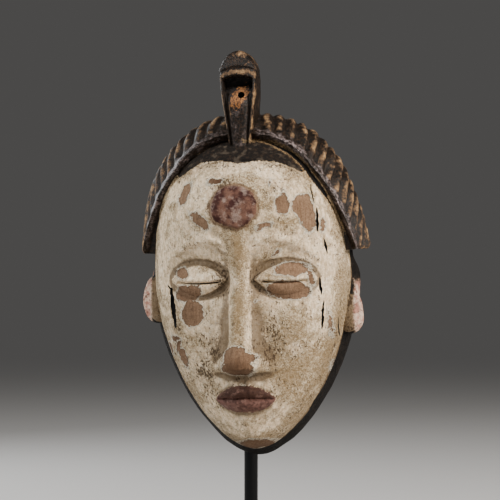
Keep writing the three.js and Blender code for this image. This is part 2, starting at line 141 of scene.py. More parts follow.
def wander(x, y, z, size, seed):
    """Smooth seeded unevenness, -1 to 1: random values on a lattice of that size in mm, eased between the
    eight corners around each place."""
    lattice = np.random.default_rng(seed).uniform(-1.0, 1.0, (32, 32, 32))
    place = np.stack(np.broadcast_arrays(x, y, z), -1) / size
    low = np.floor(place).astype(int)
    share = ease(place - low)
    total = 0.0
    for corner in range(8):
        step = np.array([corner >> 2 & 1, corner >> 1 & 1, corner & 1])
        i, j, k = np.moveaxis((low + step) % 32, -1, 0)
        weight = np.prod(np.where(step == 1, share, 1.0 - share), -1)
        total = total + weight * lattice[i, j, k]
    return total


def outline(turn, half_width, above, below):
    """The head's outline from its widest height: a superellipse of power 2.4 above and 1.7 below."""
    s, c = np.sin(turn), np.cos(turn)
    power = np.where(c >= 0, 2.0 / 2.4, 2.0 / 1.7)
    return half_width * signed(s, power), np.where(c >= 0, above, below) * signed(c, power)


def spread_at(x, z):
    """How far a place lies from the middle of the face, as a share of the way to the outline."""
    up = z > WIDEST
    power = np.where(up, 2.4, 1.7)
    reach = np.where(up, ABOVE, BELOW)
    return ((np.abs(x) / HALF_WIDTH) ** power + (np.abs(z - WIDEST) / reach) ** power) ** (1.0 / power)


def hairline(x):
    """Height of the lower edge of the carved hair: a superellipse of power 2.3 over the face."""
    side = np.clip(np.abs(x) / HALF_WIDTH, 0.0, 1.0) ** 2.3
    return blend(WIDEST, FACE_HEIGHT, (1.0 - side) ** (1.0 / 2.3))


def swellings(x, z):
    """Broad swellings: bells for the forehead, the eye sockets, the cheeks, the mouth and the chin."""
    forms = [(0, 0.865, 0.8, 0.18, 15), (0.44, 0.62, 0.32, 0.085, -7), (0.56, 0.44, 0.27, 0.12, 4),
             (0, 0.215, 0.37, 0.09, 7), (0, 0.075, 0.27, 0.055, 7)]
    across, up = np.abs(x) / HALF_WIDTH, z / FACE_HEIGHT
    return sum(height * bell(across, fx, wide) * bell(up, fz, tall) for fx, fz, wide, tall, height in forms)


def nose(x, z):
    """A long straight nose: a blunt ridge that widens and rises to its tip, with two round wings."""
    ax = np.abs(x)
    t = np.clip((NOSE_ROOT - z) / NOSE_LENGTH, 0.0, 1.0)
    height = 5.0 + 16.0 * t ** 1.3
    wide = 6.5 + 2.5 * t + 5.0 * ease((t - 0.72) / 0.25)
    ridge = height / (1.0 + (ax / wide) ** 4) * ease((z - 63.0) / 5.5) * ease((176.0 - z) / 30.0)
    tip = 3.0 * bell(ax, 0, 8.0) * bell(z, NOSE_TIP, 8.0)
    wings = 4.5 * bell(ax, 12.0, 5.0) * bell(z, NOSE_TIP - 0.5, 5.5)
    philtrum = -0.9 * bell(ax, 0, 2.6) * bell(z, 60.0, 3.5)
    return ridge + tip + wings + philtrum


def lids(x, z):
    """Closed almond lids: each an arc across its height, with a narrow slit sunk in where they meet."""
    across = (np.abs(x) - EYE_ASIDE) / EYE_HALF
    taper = np.clip(1.0 - across ** 2, 0.0, 1.0)
    slit_height = SLIT_LEVEL + 1.6 * across ** 2
    up = (z - EYE_LEVEL) / np.maximum(LID_HALF * taper, 0.001)
    ball = 7.6 * np.clip(1.0 - up ** 2, 0.0, 1.0) ** 0.62 * taper ** 0.45
    fold = -1.1 * bell(np.hypot(across * 1.02, (z - EYE_LEVEL) / 13.5), 1.06, 0.07)
    over_slit = 0.9 * ease((z - slit_height) / 0.8 + 0.5) * bell(z, slit_height + 1.5, 4.0) * taper
    slit = -3.2 * bell(z, slit_height, 0.85) * ease((0.8 - np.abs(across)) / 0.16)
    return ball + fold + over_slit + slit


def brows(x, z):
    """A thin raised arc over each eye, with a soft ledge below it."""
    t = np.clip((np.abs(x) / HALF_WIDTH - 0.1) / 0.7, 0.0, 1.0)
    height = FACE_HEIGHT * (0.695 + 0.055 * (np.sin(np.pi * t ** 0.8) - 0.6 * t))
    return 2.3 * arch(2.0 * t - 1.0) / (1.0 + ((z - height) / 3.0) ** 4)


def lips(x):
    """Heights of the mouth's parting line, of the upper lip's top and of the lower lip's lower edge."""
    across = np.clip(np.abs(x) / MOUTH_HALF, 0.0, 1.0)
    taper = 1.0 - across ** 2
    parting = MOUTH_LEVEL - 0.8 * across ** 2 + 0.5 * bell(np.abs(x), 0, 4.0)
    upper = parting + UPPER_LIP * taper ** 0.8 - 1.1 * bell(np.abs(x), 0, 3.2)
    return parting, upper, parting - LOWER_LIP * taper ** 0.65


def mouth(x, z):
    """Two full lips: half a wave across the height of each, with a crease between them."""
    parting, upper, lower = lips(x)
    taper = np.clip(1.0 - (x / MOUTH_HALF) ** 2, 0.0, 1.0)
    up = (z - parting) / np.maximum(upper - parting, 0.01)
    down = (parting - z) / np.maximum(parting - lower, 0.01)
    above = 5.4 * np.sin(np.pi * np.clip(up, 0, 1)) ** 0.8
    below = 6.2 * np.sin(np.pi * np.clip(down, 0, 1)) ** 0.8
    return (above + below) * taper ** 0.5


def disc_field(x, z):
    """How far inside the raised disc a place lies: 1 at its middle and 0 at its uneven edge."""
    uneven = 0.07 * wander(x, 0, z, 6.0, 11)
    return 1.0 - np.hypot((x - DISC_ASIDE) / DISC_HALF_WIDTH, (z - DISC_LEVEL) / DISC_HALF_HEIGHT) + uneven


# Paint losses: place, half width, half height, and turn in degrees. Those on the lids, nose and chin
# follow these features.
LOSSES = [
    (-41.4, 196.4, 4, 8.6, -24), (-28.3, 176.5, 9.6, 3.4, -36), (31.9, 186.4, 4.9, 5.4, 8),
    (33.6, 191.5, 1.3, 4.5, 0), (45.8, 187, 6.4, 7.6, 8), (48.6, 177.5, 5.2, 11.5, 14),
    (58.7, 171, 1.7, 4.6, 4), (-45, 138, 5, 5, 20), (-40, 123.6, 10.5, 5.8, 4), (37, 140, 12, 5.2, 4),
    (35, 124.8, 15, 6.4, -3), (50.2, 133, 1.8, 4.8, 10), (-37.6, 108, 9.2, 10, -8),
    (-60, 82, 2.2, 4.4, 20), (-50.4, 84, 2, 5, -10), (-47.5, 76, 2.6, 6.5, 12), (-53.5, 90, 3, 1.9, -30),
    (-0.5, 69.5, 12.5, 6.6, 0), (-3, 77.5, 8.6, 7.6, 14), (6.5, 76, 5.5, 4, 20), (3, 9.5, 13.5, 4, 4),
    (2, 54.2, 2.4, 1, -12), (59, 66, 1.1, 3.4, -24), (27.5, 152, 2.2, 1, 30), (61.8, 100, 1, 6, 4),
    (12, 118, 0.8, 0.8, 0), (24, 203, 1.2, 2.2, 0), (19.5, 171.5, 4.8, 1.9, 18), (-17, 204.5, 5, 2.2, 10),
]


def loss_field(x, z):
    """How far inside a paint loss a place lies: the greatest of 1 less each ellipse's measure, on unevenly
    shifted places."""
    px = x + 1.3 * wander(x, 0, z, 5.0, 21) + 0.6 * wander(x, 0, z, 2.2, 22)
    pz = z + 1.3 * wander(x, 0, z, 5.0, 23) + 0.6 * wander(x, 0, z, 2.2, 24)
    field = np.full(np.shape(px + pz), -2.0)
    for cx, cz, wide, tall, turn in LOSSES:
        c, s = math.cos(math.radians(turn)), math.sin(math.radians(turn))
        across = c * (px - cx) + s * (pz - cz)
        up = c * (pz - cz) - s * (px - cx)
        inside = (1.0 - np.hypot(across / wide, up / tall)) * min(wide, tall) / 3.0
        field = np.maximum(field, inside)
    return np.clip(field, -2.0, 2.0)


def face_depth(x, z):
    """Depth of the face's plain form in front of the rim: a dome of power 2.5, the swellings and the hair's
    raised band."""
    spread = np.clip(spread_at(x, z), 0.0, 1.0)
    stands = (1.0 - spread ** 2.5) ** 0.4
    band = HAIR_RISE * ease((z - hairline(x)) / 1.6 + 0.3)
    return blend(RIM, HEAD_DEPTH, stands) + (swellings(x, z) + band) * ease(3.0 * stands)


def tress_course():
    """Turns of the outline from the crest to a tress's lower end, the length along them in mm, and the
    outward directions."""
    turn = np.radians(np.linspace(1.0, 83.5, 236))
    x0, z0 = outline(turn, HALF_WIDTH, ABOVE, BELOW)
    along = np.concatenate([[0], np.cumsum(np.hypot(np.diff(x0), np.diff(z0)))])
    tx, tz = np.gradient(x0), np.gradient(z0)
    size = np.hypot(tx, tz)
    return turn, along, x0, z0, -tz / size, tx / size


def tress_taper(share):
    """Inset of a tress's inner edge from the outline and depth of its front, by the share of its length:
    both draw out below."""
    low = np.clip((share - 0.48) / 0.52, 0.0, 1.0) ** 1.2
    return blend(10.5, -2.5, low), blend(46.0, 29.0, low)


def tress_gap(x, z):
    """Distance in mm from the gap along a tress's foot, inwards positive: the inset of a place less that of
    the tress there."""
    spread = np.clip(spread_at(x, z), 0.01, 1.0)
    inset = (1.0 - spread) / spread * np.hypot(x, z - WIDEST)
    above = np.maximum(z - WIDEST, 0.0) / ABOVE
    turn = np.arctan2((np.abs(x) / HALF_WIDTH) ** 1.2, above ** 1.2)
    turns, along, *_ = tress_course()
    return inset - tress_taper(np.interp(turn, turns, along / along[-1]))[0]


def relief(x, z):
    """Everything that stands on the plain form: features, disc, knife marks, the gap at the tresses' foot,
    and worn-off paint."""
    spread = np.clip(spread_at(x, z), 0.0, 1.0)
    open_face = ease((0.97 - spread) / 0.15)
    features = nose(x, z) + lids(x, z) + brows(x, z) + mouth(x, z)
    disc = disc_field(x, z)
    plate = 1.9 * ease(disc / 0.09 + 0.5) + 0.5 * wander(x, 0, z, 5.0, 12) * ease(disc / 0.2)
    knife = 0.55 * wander(x, 0, z, 13.0, 31) + 0.28 * wander(x, 0, z, 6.0, 32)
    knife = knife + 0.12 * wander(x, 0, z, 3.0, 33)
    gap = -2.6 * bell(tress_gap(x, z), 0.7 + 0.7 * wander(x, 0, z, 5.0, 34), 1.2) * ease((z - 150.0) / 10.0)
    lost = -0.5 * ease(loss_field(x, z) / 0.24 + 0.5)
    return (features + plate + knife + lost) * open_face + gap * ease((np.abs(x) - 14.0) / 8.0)


def form_depth(x, z):
    """Depth of the carved face in front of the rim: its plain form and what stands on it."""
    return face_depth(x, z) + relief(x, z)


def hollowness(x, z, reach):
    """How hollow the face is at a place: the mean depth of eight places around it less its own, by their
    distance."""
    turns = [turn * math.pi / 4 for turn in range(8)]
    ring = sum(form_depth(x + reach * math.cos(turn), z + reach * math.sin(turn)) for turn in turns) / 8
    return (ring - face_depth(x, z) - relief(x, z)) / reach


def flare(depth, z):
    """How far the collar stands out near the rim, below the widest height."""
    return FLARE * ease(1.0 - depth / FLARE_LENGTH) * ease((WIDEST + FLARE_LENGTH - z) / FLARE_LENGTH)


def skin(name, rings, first, last, layers=None):
    """A closed mesh from rings of points, closed by a point at either end, with a value per point for each
    named layer. Its faces are turned so that its volume is positive."""
    rows, columns, _ = rings.shape
    points = np.concatenate([rings.reshape(-1, 3), [first], [last]])
    row, column = np.meshgrid(np.arange(rows - 1), np.arange(columns), indexing="ij")
    following = (column + 1) % columns
    a, b = row * columns + column, row * columns + following
    quads = np.stack([a, b, b + columns, a + columns], -1).reshape(-1, 4)
    around = np.arange(columns)
    beside = (around + 1) % columns
    poles = rows * columns
    base = poles - columns
    fans = np.concatenate([
        np.stack([beside, around, np.full(columns, poles)], -1),
        np.stack([base + around, base + beside, np.full(columns, poles + 1)], -1),
    ])
    halves = np.concatenate([quads[:, [0, 1, 2]], quads[:, [0, 2, 3]], fans])
    p, q, r = (points[halves[:, k]] for k in range(3))
    if np.einsum("ij,ij->", p, np.cross(q, r)) < 0:
        quads, fans = quads[:, ::-1], fans[:, ::-1]
    mesh = bpy.data.meshes.new(name)
    mesh.from_pydata(points.tolist(), [], quads.tolist() + fans.tolist())
    for layer in ("wear", "sheen", "soot_and_shade"):
        values = np.zeros(len(points))
        if layers and layer in layers:
            values[:poles] = np.broadcast_to(layers[layer], (rows, columns)).ravel()
        mesh.attributes.new(layer, "FLOAT", "POINT").data.foreach_set("value", values.astype(np.float32))
    solid = bpy.data.objects.new(name, mesh)
    bpy.context.scene.collection.objects.link(solid)
    return solid


def head():
    """The head over its outline: rings from the face's middle out to the flaring collar, round the rim, and
    a flat back. Columns lie closer together towards the chin, and rings closer towards the rim."""
    share = np.linspace(0, 2 * np.pi, 430, endpoint=False)
    turn = (share + 0.28 * np.sin(share))[None, :]
    x0, z0 = outline(turn, HALF_WIDTH, ABOVE, BELOW)
    reach = np.hypot(x0, z0)
    face_steps = np.linspace(0.008, 0.86, 102, endpoint=False)
    side_steps = np.linspace(0.86, 1, 22)
    steps = np.concatenate([face_steps, side_steps])[:, None]
    spread = np.sin(np.pi / 2 * steps) ** 0.8
    x, z = spread * x0, WIDEST + spread * z0
    depth = form_depth(x, z)
    uneven = 0.5 * wander(x, depth, z, 14.0, 35) + 0.25 * wander(x, depth, z, 6.0, 36)
    out = flare(depth, z) + uneven * ease((spread - 0.8) / 0.2)
    bend = np.radians([30, 60, 90])[:, None]
    rim_out = out[-1] - RIM * (1 - np.cos(bend))
    rim_depth = RIM * (1 - np.sin(bend)) + 0 * rim_out
    depth, out = np.concatenate([depth, rim_depth]), np.concatenate([out, rim_out])
    x = np.concatenate([x, np.repeat(x[-1:], 3, 0)]) + out * x0 / reach
    z = np.concatenate([z, np.repeat(z[-1:], 3, 0)]) + out * z0 / reach
    middle = float(form_depth(0.0, WIDEST))
    return skin("head", np.stack([x, -depth, z], -1), (0, -middle, WIDEST), (0, 0, WIDEST))


SIDE_WALL = 9
TOP_WALL = 13
CHIN_WALL = 14
HOLLOW_DEPTH = 51
FOREHEAD_DEPTH = 15


def hollow():
    """The hollow behind the face: a dome inside the outline, cut with a gouge, that follows the forehead."""
    turn = np.linspace(0, 2 * np.pi, 120, endpoint=False)[None, :]
    x0, z0 = outline(turn, HALF_WIDTH - SIDE_WALL, ABOVE - TOP_WALL, BELOW - CHIN_WALL)
    spread = np.sin(np.pi / 2 * np.linspace(0.02, 1, 48)[:, None]) ** 0.8
    stands = (1 - spread ** 2.5) ** 0.4
    x, z = spread * x0, WIDEST + spread * z0
    forehead = FOREHEAD_DEPTH * bell(np.abs(x) / HALF_WIDTH, 0, 0.8) * bell(z / FACE_HEIGHT, 0.865, 0.18)
    gouge = 0.8 * np.abs(wander(x, 0, z * 0.35, 7.0, 41)) * ease(4 * stands)
    depth = HOLLOW_DEPTH * stands + forehead * ease(3 * stands) - gouge
    rings = np.stack([x, -depth, z], -1)
    mouth_of_it = rings[-1:] * [1, 0, 1] + [0, RIM, 0]
    deepest = HOLLOW_DEPTH + FOREHEAD_DEPTH * bell(WIDEST / FACE_HEIGHT, 0.865, 0.18)
    rings = np.concatenate([rings, mouth_of_it])
    return skin("hollow", rings, (0, -float(deepest), WIDEST), (0, RIM, WIDEST))


RIB_PITCH = 11
TRESS_THICKNESS = 11


def tress(side, swell):
    """One thick side tress: a section with slanting carved ribs and a smooth front ridge, carried along the
    outline. The ribs are waves, one to each RIB_PITCH at the front, that slant ever more from front to back
    towards the lower end."""
    _, along, x0, z0, out_x, out_z = (values[:, None] for values in tress_course())
    length = along[-1, 0]
    share = along / length
    inset, front = tress_taper(share)
    v = np.linspace(0, 1, 42)[None, :]
    thickness = TRESS_THICKNESS + swell * ease(1 - (length - along) / 45)
    rounded = np.sin(np.clip(v / 0.72, 0, 1) * np.pi / 2)
    out = blend(4.5 - inset, thickness, rounded) - 2.5 * ease((v - 0.72) / 0.28)
    depth = blend(front, 1.5, v)
    uneven = wander(side * along, 40 * v, 0, 9.0, 51)
    phase = along / RIB_PITCH + blend(0.4, 5.4, share ** 0.9) * v + 0.16 * uneven
    rib = (0.5 - 0.5 * np.cos(2 * np.pi * phase)) ** 0.7
    carved = ease((v - 0.07) / 0.07) * ease(along / 9.5)
    out = out + blend(1.9, 2.9, ease(along / 70)) * (rib - 0.72) * carved
    out = out + 0.35 * uneven + 0.25 * wander(side * along, 40 * v, 0, 4.0, 52)
    depth = depth + 1.2 * bell(v, 0.03, 0.05)
    out = out - 2.0 * (1 - np.sqrt(np.clip((length - along) / 3.0, 0, 1)))
    flat = 0 * along
    wall_out = [flat - 5.5, flat - 22, -inset - 11, -inset, 1.2 - inset, 2.8 - inset]
    wall_depth = [flat + 1.5, front / 2, front - 4, front - 4.5, front - 3.2, front - 0.8]
    out, depth = np.concatenate([out, *wall_out], 1), np.concatenate([depth, *wall_depth], 1)
    rings = np.stack([side * (x0 + out * out_x), -depth, WIDEST + z0 + out * out_z], -1)
    wear = np.concatenate([rib * carved, np.zeros((len(along), 6))], 1)
    # Sheen: a painted highlight on the smooth front ridge and the wall, with lower roughness.
    sheen = np.concatenate([1.0 - carved + 0 * rib, flat, flat, flat, flat, flat + 0.2, flat + 0.7], 1)
    ends = [tuple(rings[k].mean(0)) for k in (0, -1)]
    return skin("tress", rings, *ends, {"wear": wear, "sheen": sheen})


CREST_ASIDE = -2.0
CREST_FOOT = 206.0
CREST_NECK = 226.0
CREST_LIP = 286.0
CREST_TOP = 302.0


def crest_half(z):
    """Half width of the crest: 8.5 mm at its foot, eased to 14 mm where it is widest."""
    return blend(17.0, 28.0, ease((z - CREST_NECK) / 55.0)) / 2


def crest():
    """The crest: a keel whose front is carved like a spoon, with raised rims, a groove and a rounded tongue
    between them, and a deep hollow under an overhanging cap. Every ring is a superellipse, and the front's
    carving sinks into it."""
    t = np.linspace(0, 0.994, 116)[:, None]
    share = np.linspace(0, 2 * np.pi, 128, endpoint=False)[None, :]
    turn = share - 0.25 * np.sin(share)
    z = blend(CREST_FOOT, CREST_TOP, np.sin(t * np.pi / 2) ** 0.9)
    close = arch(1 - np.clip((CREST_TOP - z) / 21.0, 0, 1))
    forward, aside = np.cos(turn), np.sin(turn)
    front = 50 + 3 * ease((z - CREST_NECK) / 40) - 12 * (1 - close)
    back = 2.5 + 14 * ease((z - HEAD_TOP) / 40) + 12 * (1 - close)
    half = crest_half(z) * close * (1 - 0.3 * ease(-forward))
    across = signed(aside, 0.5)
    x = half * across
    depth = (front + back) / 2 + (front - back) / 2 * signed(forward, np.where(forward > 0, 0.3, 0.7))
    facing = ease(forward * 4)
    lip = CREST_LIP + 3.4 * (1 - across ** 2) + 0.6 * across
    cap = ease((z - lip) / 1.4 + 0.5)
    opening = ease((0.83 - np.abs(across)) / 0.1) * ease((283.2 - 3.5 * across ** 2 - z) / 1.3)
    opening = opening * ease((z - 219) / 8)
    deep = ease((z - 261) / 18)
    tongue = arch(np.clip(across / 0.6, -1, 1))
    sunk = opening * (2.7 + 5.6 * deep - 1.9 * tongue * (1 - deep))
    line = 0.7 * bell(across, -0.5, 0.06) * ease((z - 250) / 6) * ease((270 - z) / 5) * opening
    rim = bell(np.abs(across), 0.92, 0.08) * ease((lip - z) / 3) * ease((z - 224) / 8)
    uneven = wander(x, depth, z, 8.0, 61) + 0.5 * wander(x, depth, z, 3.5, 62)
    depth = depth - facing * (sunk - line) + facing * (1.5 * cap + 0.5 * rim) + 0.25 * uneven * forward
    x = CREST_ASIDE + x * (1 + 0.035 * cap * close) + 0.25 * uneven * aside
    rings = np.stack([x, -depth, z + 0 * x], -1)
    band = bell(z, lip - 3.6, 2.2) * facing
    crown = ease((z - 293) / 6) * bell(across, 0.4, 0.6)
    wear = np.maximum.reduce([0.9 * rim * facing, 0.95 * band, 1.05 * crown, line, 0.33 * cap])
    # Sheen: a painted highlight on the tongue, with lower roughness.
    sheen = 0.05 + 0.3 * tongue * facing * (1 - deep)
    # Blackening of the deep hollow under the cap and along its sides, partly painted shade where the cap
    # overhangs.
    soot_and_shade = opening * facing * np.maximum(deep, 0.55 * bell(np.abs(across), 0.7, 0.12))
    foot_point = (CREST_ASIDE, -25, CREST_FOOT)
    top_point = (CREST_ASIDE, -float((front + back)[-1, 0]) / 2, CREST_TOP)
    return skin("crest", rings, foot_point, top_point, {"wear": wear, "sheen": sheen, "soot_and_shade": soot_and_shade})


EAR_LEVEL = 114
EAR_HALF = 19
EAR_OUT = 72
EAR_DEPTH = 9.5


def ear(side):
    """A plain ear: an oval ridge that stands off the head before the rim, with a groove down its front. The
    right one swells low, with a slanting upper edge."""
    up = np.linspace(0.03, 0.97, 44)[:, None] * np.pi
    turn = np.linspace(0, 2 * np.pi, 56, endpoint=False)[None, :]
    lowered = up - (0.26 if side > 0 else 0.1) * np.sin(up)
    swell = np.sin(lowered) ** (1.0 if side > 0 else 0.8)
    groove = 1 - 0.3 * bell(turn, 0.95, 0.3) * bell(up, np.pi / 2, 0.75)
    middle = EAR_LEVEL - 5 * side
    uneven = wander(10 * np.cos(turn), 10 * np.sin(turn), 12 * up, 5.0, 71 + side)
    x = EAR_OUT + ((11 if side > 0 else 14) * groove + 0.4 * uneven) * swell * np.sin(turn)
    z = middle + EAR_HALF * np.cos(up) + 0 * turn
    depth = EAR_DEPTH + (7.5 * groove + 0.4 * uneven) * swell * np.cos(turn)
    rings = np.stack([side * x, -depth, z], -1)
    ends = [(side * EAR_OUT, -EAR_DEPTH, middle + EAR_HALF), (side * EAR_OUT, -EAR_DEPTH, middle - EAR_HALF)]
    return skin("ear", rings, *ends)


def crack(start, end, width, seed):
    """A ragged open crack: a lens-shaped cut that follows the face, pinched and shifted unevenly along its
    length."""
    v = np.linspace(0.01, 0.99, 60)[:, None]
    turn = np.linspace(0, 2 * np.pi, 16, endpoint=False)[None, :]
    line_x, z = blend(start[0], end[0], v), blend(start[1], end[1], v)
    size = np.sin(np.pi * v) ** 0.5
    shift = 0.25 * wander(0, seed, z, 4.0, 81) + 0.2 * wander(0, seed, z, 1.6, 82)
    half = width / 2 * size * (0.9 + 0.35 * wander(0, seed, z, 2.6, 83))
    x = line_x + shift + half * signed(np.cos(turn), 0.7)
    depth = face_depth(line_x, z) - 6 * size * np.sin(turn)
    rings = np.stack([x, -depth, z + 0 * x], -1)
    ends = [(float(p[0]), -float(face_depth(p[0], p[1])), float(p[1])) for p in (start, end)]
    return skin("crack", rings, *ends)


DRILLED_ASIDE = 0.3
DRILLED_LEVEL = 268.6
DRILLED_RADIUS = 2.5


def drilled_hole():
    """The small round hole at the foot of the crest's deep hollow: two rings, one behind the other."""
    turn = np.linspace(0, 2 * np.pi, 32, endpoint=False)
    depth = np.array([[56.0], [37.0]])
    x = DRILLED_ASIDE + DRILLED_RADIUS * np.cos(turn) + 0 * depth
    z = DRILLED_LEVEL + DRILLED_RADIUS * np.sin(turn) + 0 * depth
    rings = np.stack([x, -depth + 0 * turn, z], -1)
    return skin("hole", rings, (DRILLED_ASIDE, -56, DRILLED_LEVEL), (DRILLED_ASIDE, -37, DRILLED_LEVEL))


# Open cracks: where each starts and ends, and its greatest width.
CRACKS = [
    ((-55, 128), (-51.6, 97.5), 4.7), ((-58, 129.5), (-54.4, 125), 2.4), ((50.5, 202), (53.2, 187), 0.9),
    ((55.3, 184.5), (55.7, 166.5), 2.3), ((59.6, 162), (61.6, 150.5), 1.8),
    ((55.7, 133.5), (56.9, 120.5), 2.2), ((58.3, 116.5), (56.3, 95), 1.9), ((66.5, 104), (66, 88), 0.8),
]

SLOTS = ["face", "tresses", "crest", "inside", "dark"]
SHARP_ANGLE = 40


def combine(whole, part, operation, slot):
    """Joins a part to the whole or cuts it out; the part's faces keep its slot."""
    for name in SLOTS:
        part.data.materials.append(bpy.data.materials.get(name) or bpy.data.materials.new(name))
    part.data.polygons.foreach_set("material_index", np.full(len(part.data.polygons), SLOTS.index(slot)))
    if whole is None:
        return part
    step = whole.modifiers.new("step", "BOOLEAN")
    step.solver = "MANIFOLD"
    step.operation = operation
    step.object = part
    joined = bpy.data.meshes.new_from_object(whole.evaluated_get(bpy.context.evaluated_depsgraph_get()))
    whole.modifiers.clear()
    whole.data = joined
    bpy.data.objects.remove(part)
    return whole


LEAN = math.radians(1.2)


def placed(points):
    """From millimetres in the mask's own frame to metres on the stand: a lean to the side and a shift."""
    x, y, z = points.T
    return np.stack([
        x * math.cos(LEAN) - z * math.sin(LEAN) + CHIN[0],
        y + CHIN[1],
        x * math.sin(LEAN) + z * math.cos(LEAN) + CHIN[2],
    ], -1) / 1000


# Upper edge of the white paint: places across the brow and their heights.
WHITE_EDGE = [
    (-75, 235), (-55, 213), (-48, 209), (-40, 213), (-30, 219), (-14, 220), (-1, 217.5), (12, 219),
    (27, 218.5), (36, 214.5), (44, 211), (53, 213), (75, 235),
]

# Where the white is rubbed thin and tan, or thicker where the last number is negative: place, half width,
# half height and strength.
STAINS = [
    (36, 83, 30, 26, 1), (24, 62, 14, 12, 0.6), (0, 112, 5.5, 42, 1.5), (0, 158, 8, 14, 1.3),
    (22, 172, 17, 5, 0.9), (-24, 177, 12, 5, 0.5), (38, 128, 16, 12, 0.7), (-36, 128, 14, 10, 0.4),
    (34, 50, 12, 20, 0.6), (-2, 186, 20, 18, 0.4), (62, 118, 7, 40, 0.5), (-62, 110, 6, 40, 0.35),
    (40, 175, 14, 24, 0.35), (10, 12, 20, 8, 0.6), (-44, 88, 14, 18, 0.5), (-28, 60, 12, 16, 0.4),
    (9.5, 105, 3, 34, -0.8), (-9.5, 105, 3, 34, -0.8), (30, 157, 18, 4, -0.7), (-30, 157, 18, 4, -0.7),
    (0, 60, 14, 4, -0.9), (-5, 26, 18, 8, -0.7), (58, 132, 8, 22, -0.8), (-32, 192, 12, 8, -0.5),
    (22, 205, 18, 8, -0.4), (26, 116, 12, 6, -0.6), (-26, 118, 12, 6, -0.5), (-52, 150, 8, 16, -0.4),
    (20, 34, 10, 8, -0.5), (-22, 34, 14, 14, -0.9),
]

# Where dirt and painted shade lie: place, half width, half height and strength.
# Those at the eyes' inner corners, beside and under the nose and along the mouth's parting are painted
# shade.
DIRT_AND_SHADE = [
    (-1, 70, 12, 9, 0.9), (-38, 112, 9, 12, 0.35), (-16, 202, 12, 7, 0.5), (27, 196, 8, 10, 0.6),
    (0, 46.3, 24, 1, 0.9), (-13, 131, 6, 8, 1.6), (12, 131, 6, 8, 1.5), (-20, 88, 7, 12, 1.1),
    (22, 86, 11, 20, 1.2), (-30, 66, 12, 16, 1), (-24, 50, 7, 8, 0.5), (25, 52, 7, 7, 0.4),
    (-18, 146, 8, 8, 0.5), (18, 147, 8, 6, 0.4), (-46, 116, 5, 18, 0.4), (-52, 92, 6, 14, 0.8),
    (-12, 205, 9, 6, 0.6), (0, 62, 12, 3, 0.4), (-34, 172, 14, 8, 0.3), (54, 136, 6, 8, 0.4),
]


def paint_fields(points):
    """Where each finish of the face lies, and where painted shade darkens it, as fields that are 0 at its
    edge and positive inside, from places in millimetres."""
    x, y, z = points.T
    depth = -y
    spread = spread_at(x, z)
    parting, upper, lower = lips(x)
    white_top = np.interp(x, *np.transpose(WHITE_EDGE))
    collar = 13.5 - depth + 1.2 * wander(x, y, z, 8.0, 91)
    ear_out = (np.abs(x) - np.where(x > 0, 76.5, 78.5)) / 3
    ear_up = 3 - np.abs(z - EAR_LEVEL + 5 * np.sign(x)) / 7
    gap = 1.0 - np.abs(tress_gap(x, z) - 0.8) / 1.6 - 2.0 * (z < 152) - 3.0 * (spread > 1.0)
    gap_closed = np.where(x > 0, 0.9 * ease((200 - z) / 14) + ease((26 - x) / 10), 2.0)
    fields = {
        "loss": loss_field(x, z),
        "disc": disc_field(x, z) * 5.0,
        "lip": np.where(np.abs(x) < MOUTH_HALF, np.minimum(upper - z, z - lower) / 2.0, -2.0),
        "collar": collar / 3.0 + 1.2 * ease((10 - z) / 8) * (depth < 24),
        "band": (z - white_top + 0.8 * wander(x, y, z, 7.0, 92)) / 3.0,
        "ear": np.minimum(ear_out, ear_up),
        "gap": gap - gap_closed,
    }
    for name, bells in (("stain", STAINS), ("dirt_and_shade", DIRT_AND_SHADE)):
        total = sum(s * bell(x, cx, w) * bell(z, cz, t) for cx, cz, w, t, s in bells)
        fields[name] = np.clip(total, -1, 1.6)
    edge = ease((spread - 0.86) / 0.09)
    strip = 0.9 * ease((z - hairline(x) - 0.5) / 1.5) * (np.abs(x) > 30)
    fields["stain"] = np.maximum(fields["stain"] + 0.8 * edge, strip)
    # Dirt and painted shade grow towards the outline and next to the hair and the disc.
    near_hair, near_disc = bell(fields["band"], -0.8, 1.0), bell(fields["disc"], -0.4, 0.5)
    fields["dirt_and_shade"] = fields["dirt_and_shade"] + 0.5 * edge + 0.7 * near_hair + 0.5 * near_disc
    # Painted shade in the face's hollows, with dirt that gathers there: how hollow each place is, less under
    # the nose.
    below_nose = bell(x, 0, 22) * bell(z, 61, 6)
    fields["hollow_shade_and_dirt"] = 1.6 * hollowness(x, z, 3.5) + 2.4 * hollowness(x, z, 9.0) - 0.7 * below_nose
    slanted = x + 0.7 + 0.35 * (268 - z)
    fields["bare"] = 1 - np.hypot(slanted / 5.4, (z - 267.0) / 7.6) - 3 * (depth < 34)
    return {name: np.clip(values, -3, 3) for name, values in fields.items()}


def carve_mask():
    """Joins the carved forms, cuts the hollow, the cracks and the hole, and keeps one mesh with its fields,
    in metres."""
    mask = combine(None, head(), None, "face")
    forms = [(tress(1, 3.0), "tresses"), (tress(-1, -1.5), "tresses"), (crest(), "crest")]
    forms += [(ear(1), "face"), (ear(-1), "face")]
    for form, slot in forms:
        mask = combine(mask, form, "UNION", slot)
    mask = combine(mask, hollow(), "DIFFERENCE", "inside")
    mask = combine(mask, drilled_hole(), "DIFFERENCE", "dark")
    for index, (start, end, width) in enumerate(CRACKS):
        mask = combine(mask, crack(start, end, width, 17.0 * index), "DIFFERENCE", "dark")
    mesh = mask.data
    points = np.empty(3 * len(mesh.vertices))
    mesh.vertices.foreach_get("co", points)
    points = points.reshape(-1, 3)
    for name, values in paint_fields(points).items():
        mesh.attributes.new(name, "FLOAT", "POINT").data.foreach_set("value", values.astype(np.float32))
    mesh.vertices.foreach_set("co", placed(points).ravel())
    mesh.shade_smooth()
    mesh.set_sharp_from_angle(angle=math.radians(SHARP_ANGLE))
    mesh.update()
    mask.name = mesh.name = "mask_carved"
    return mask


mask = carve_mask()
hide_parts("mask")
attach(mask, "root")
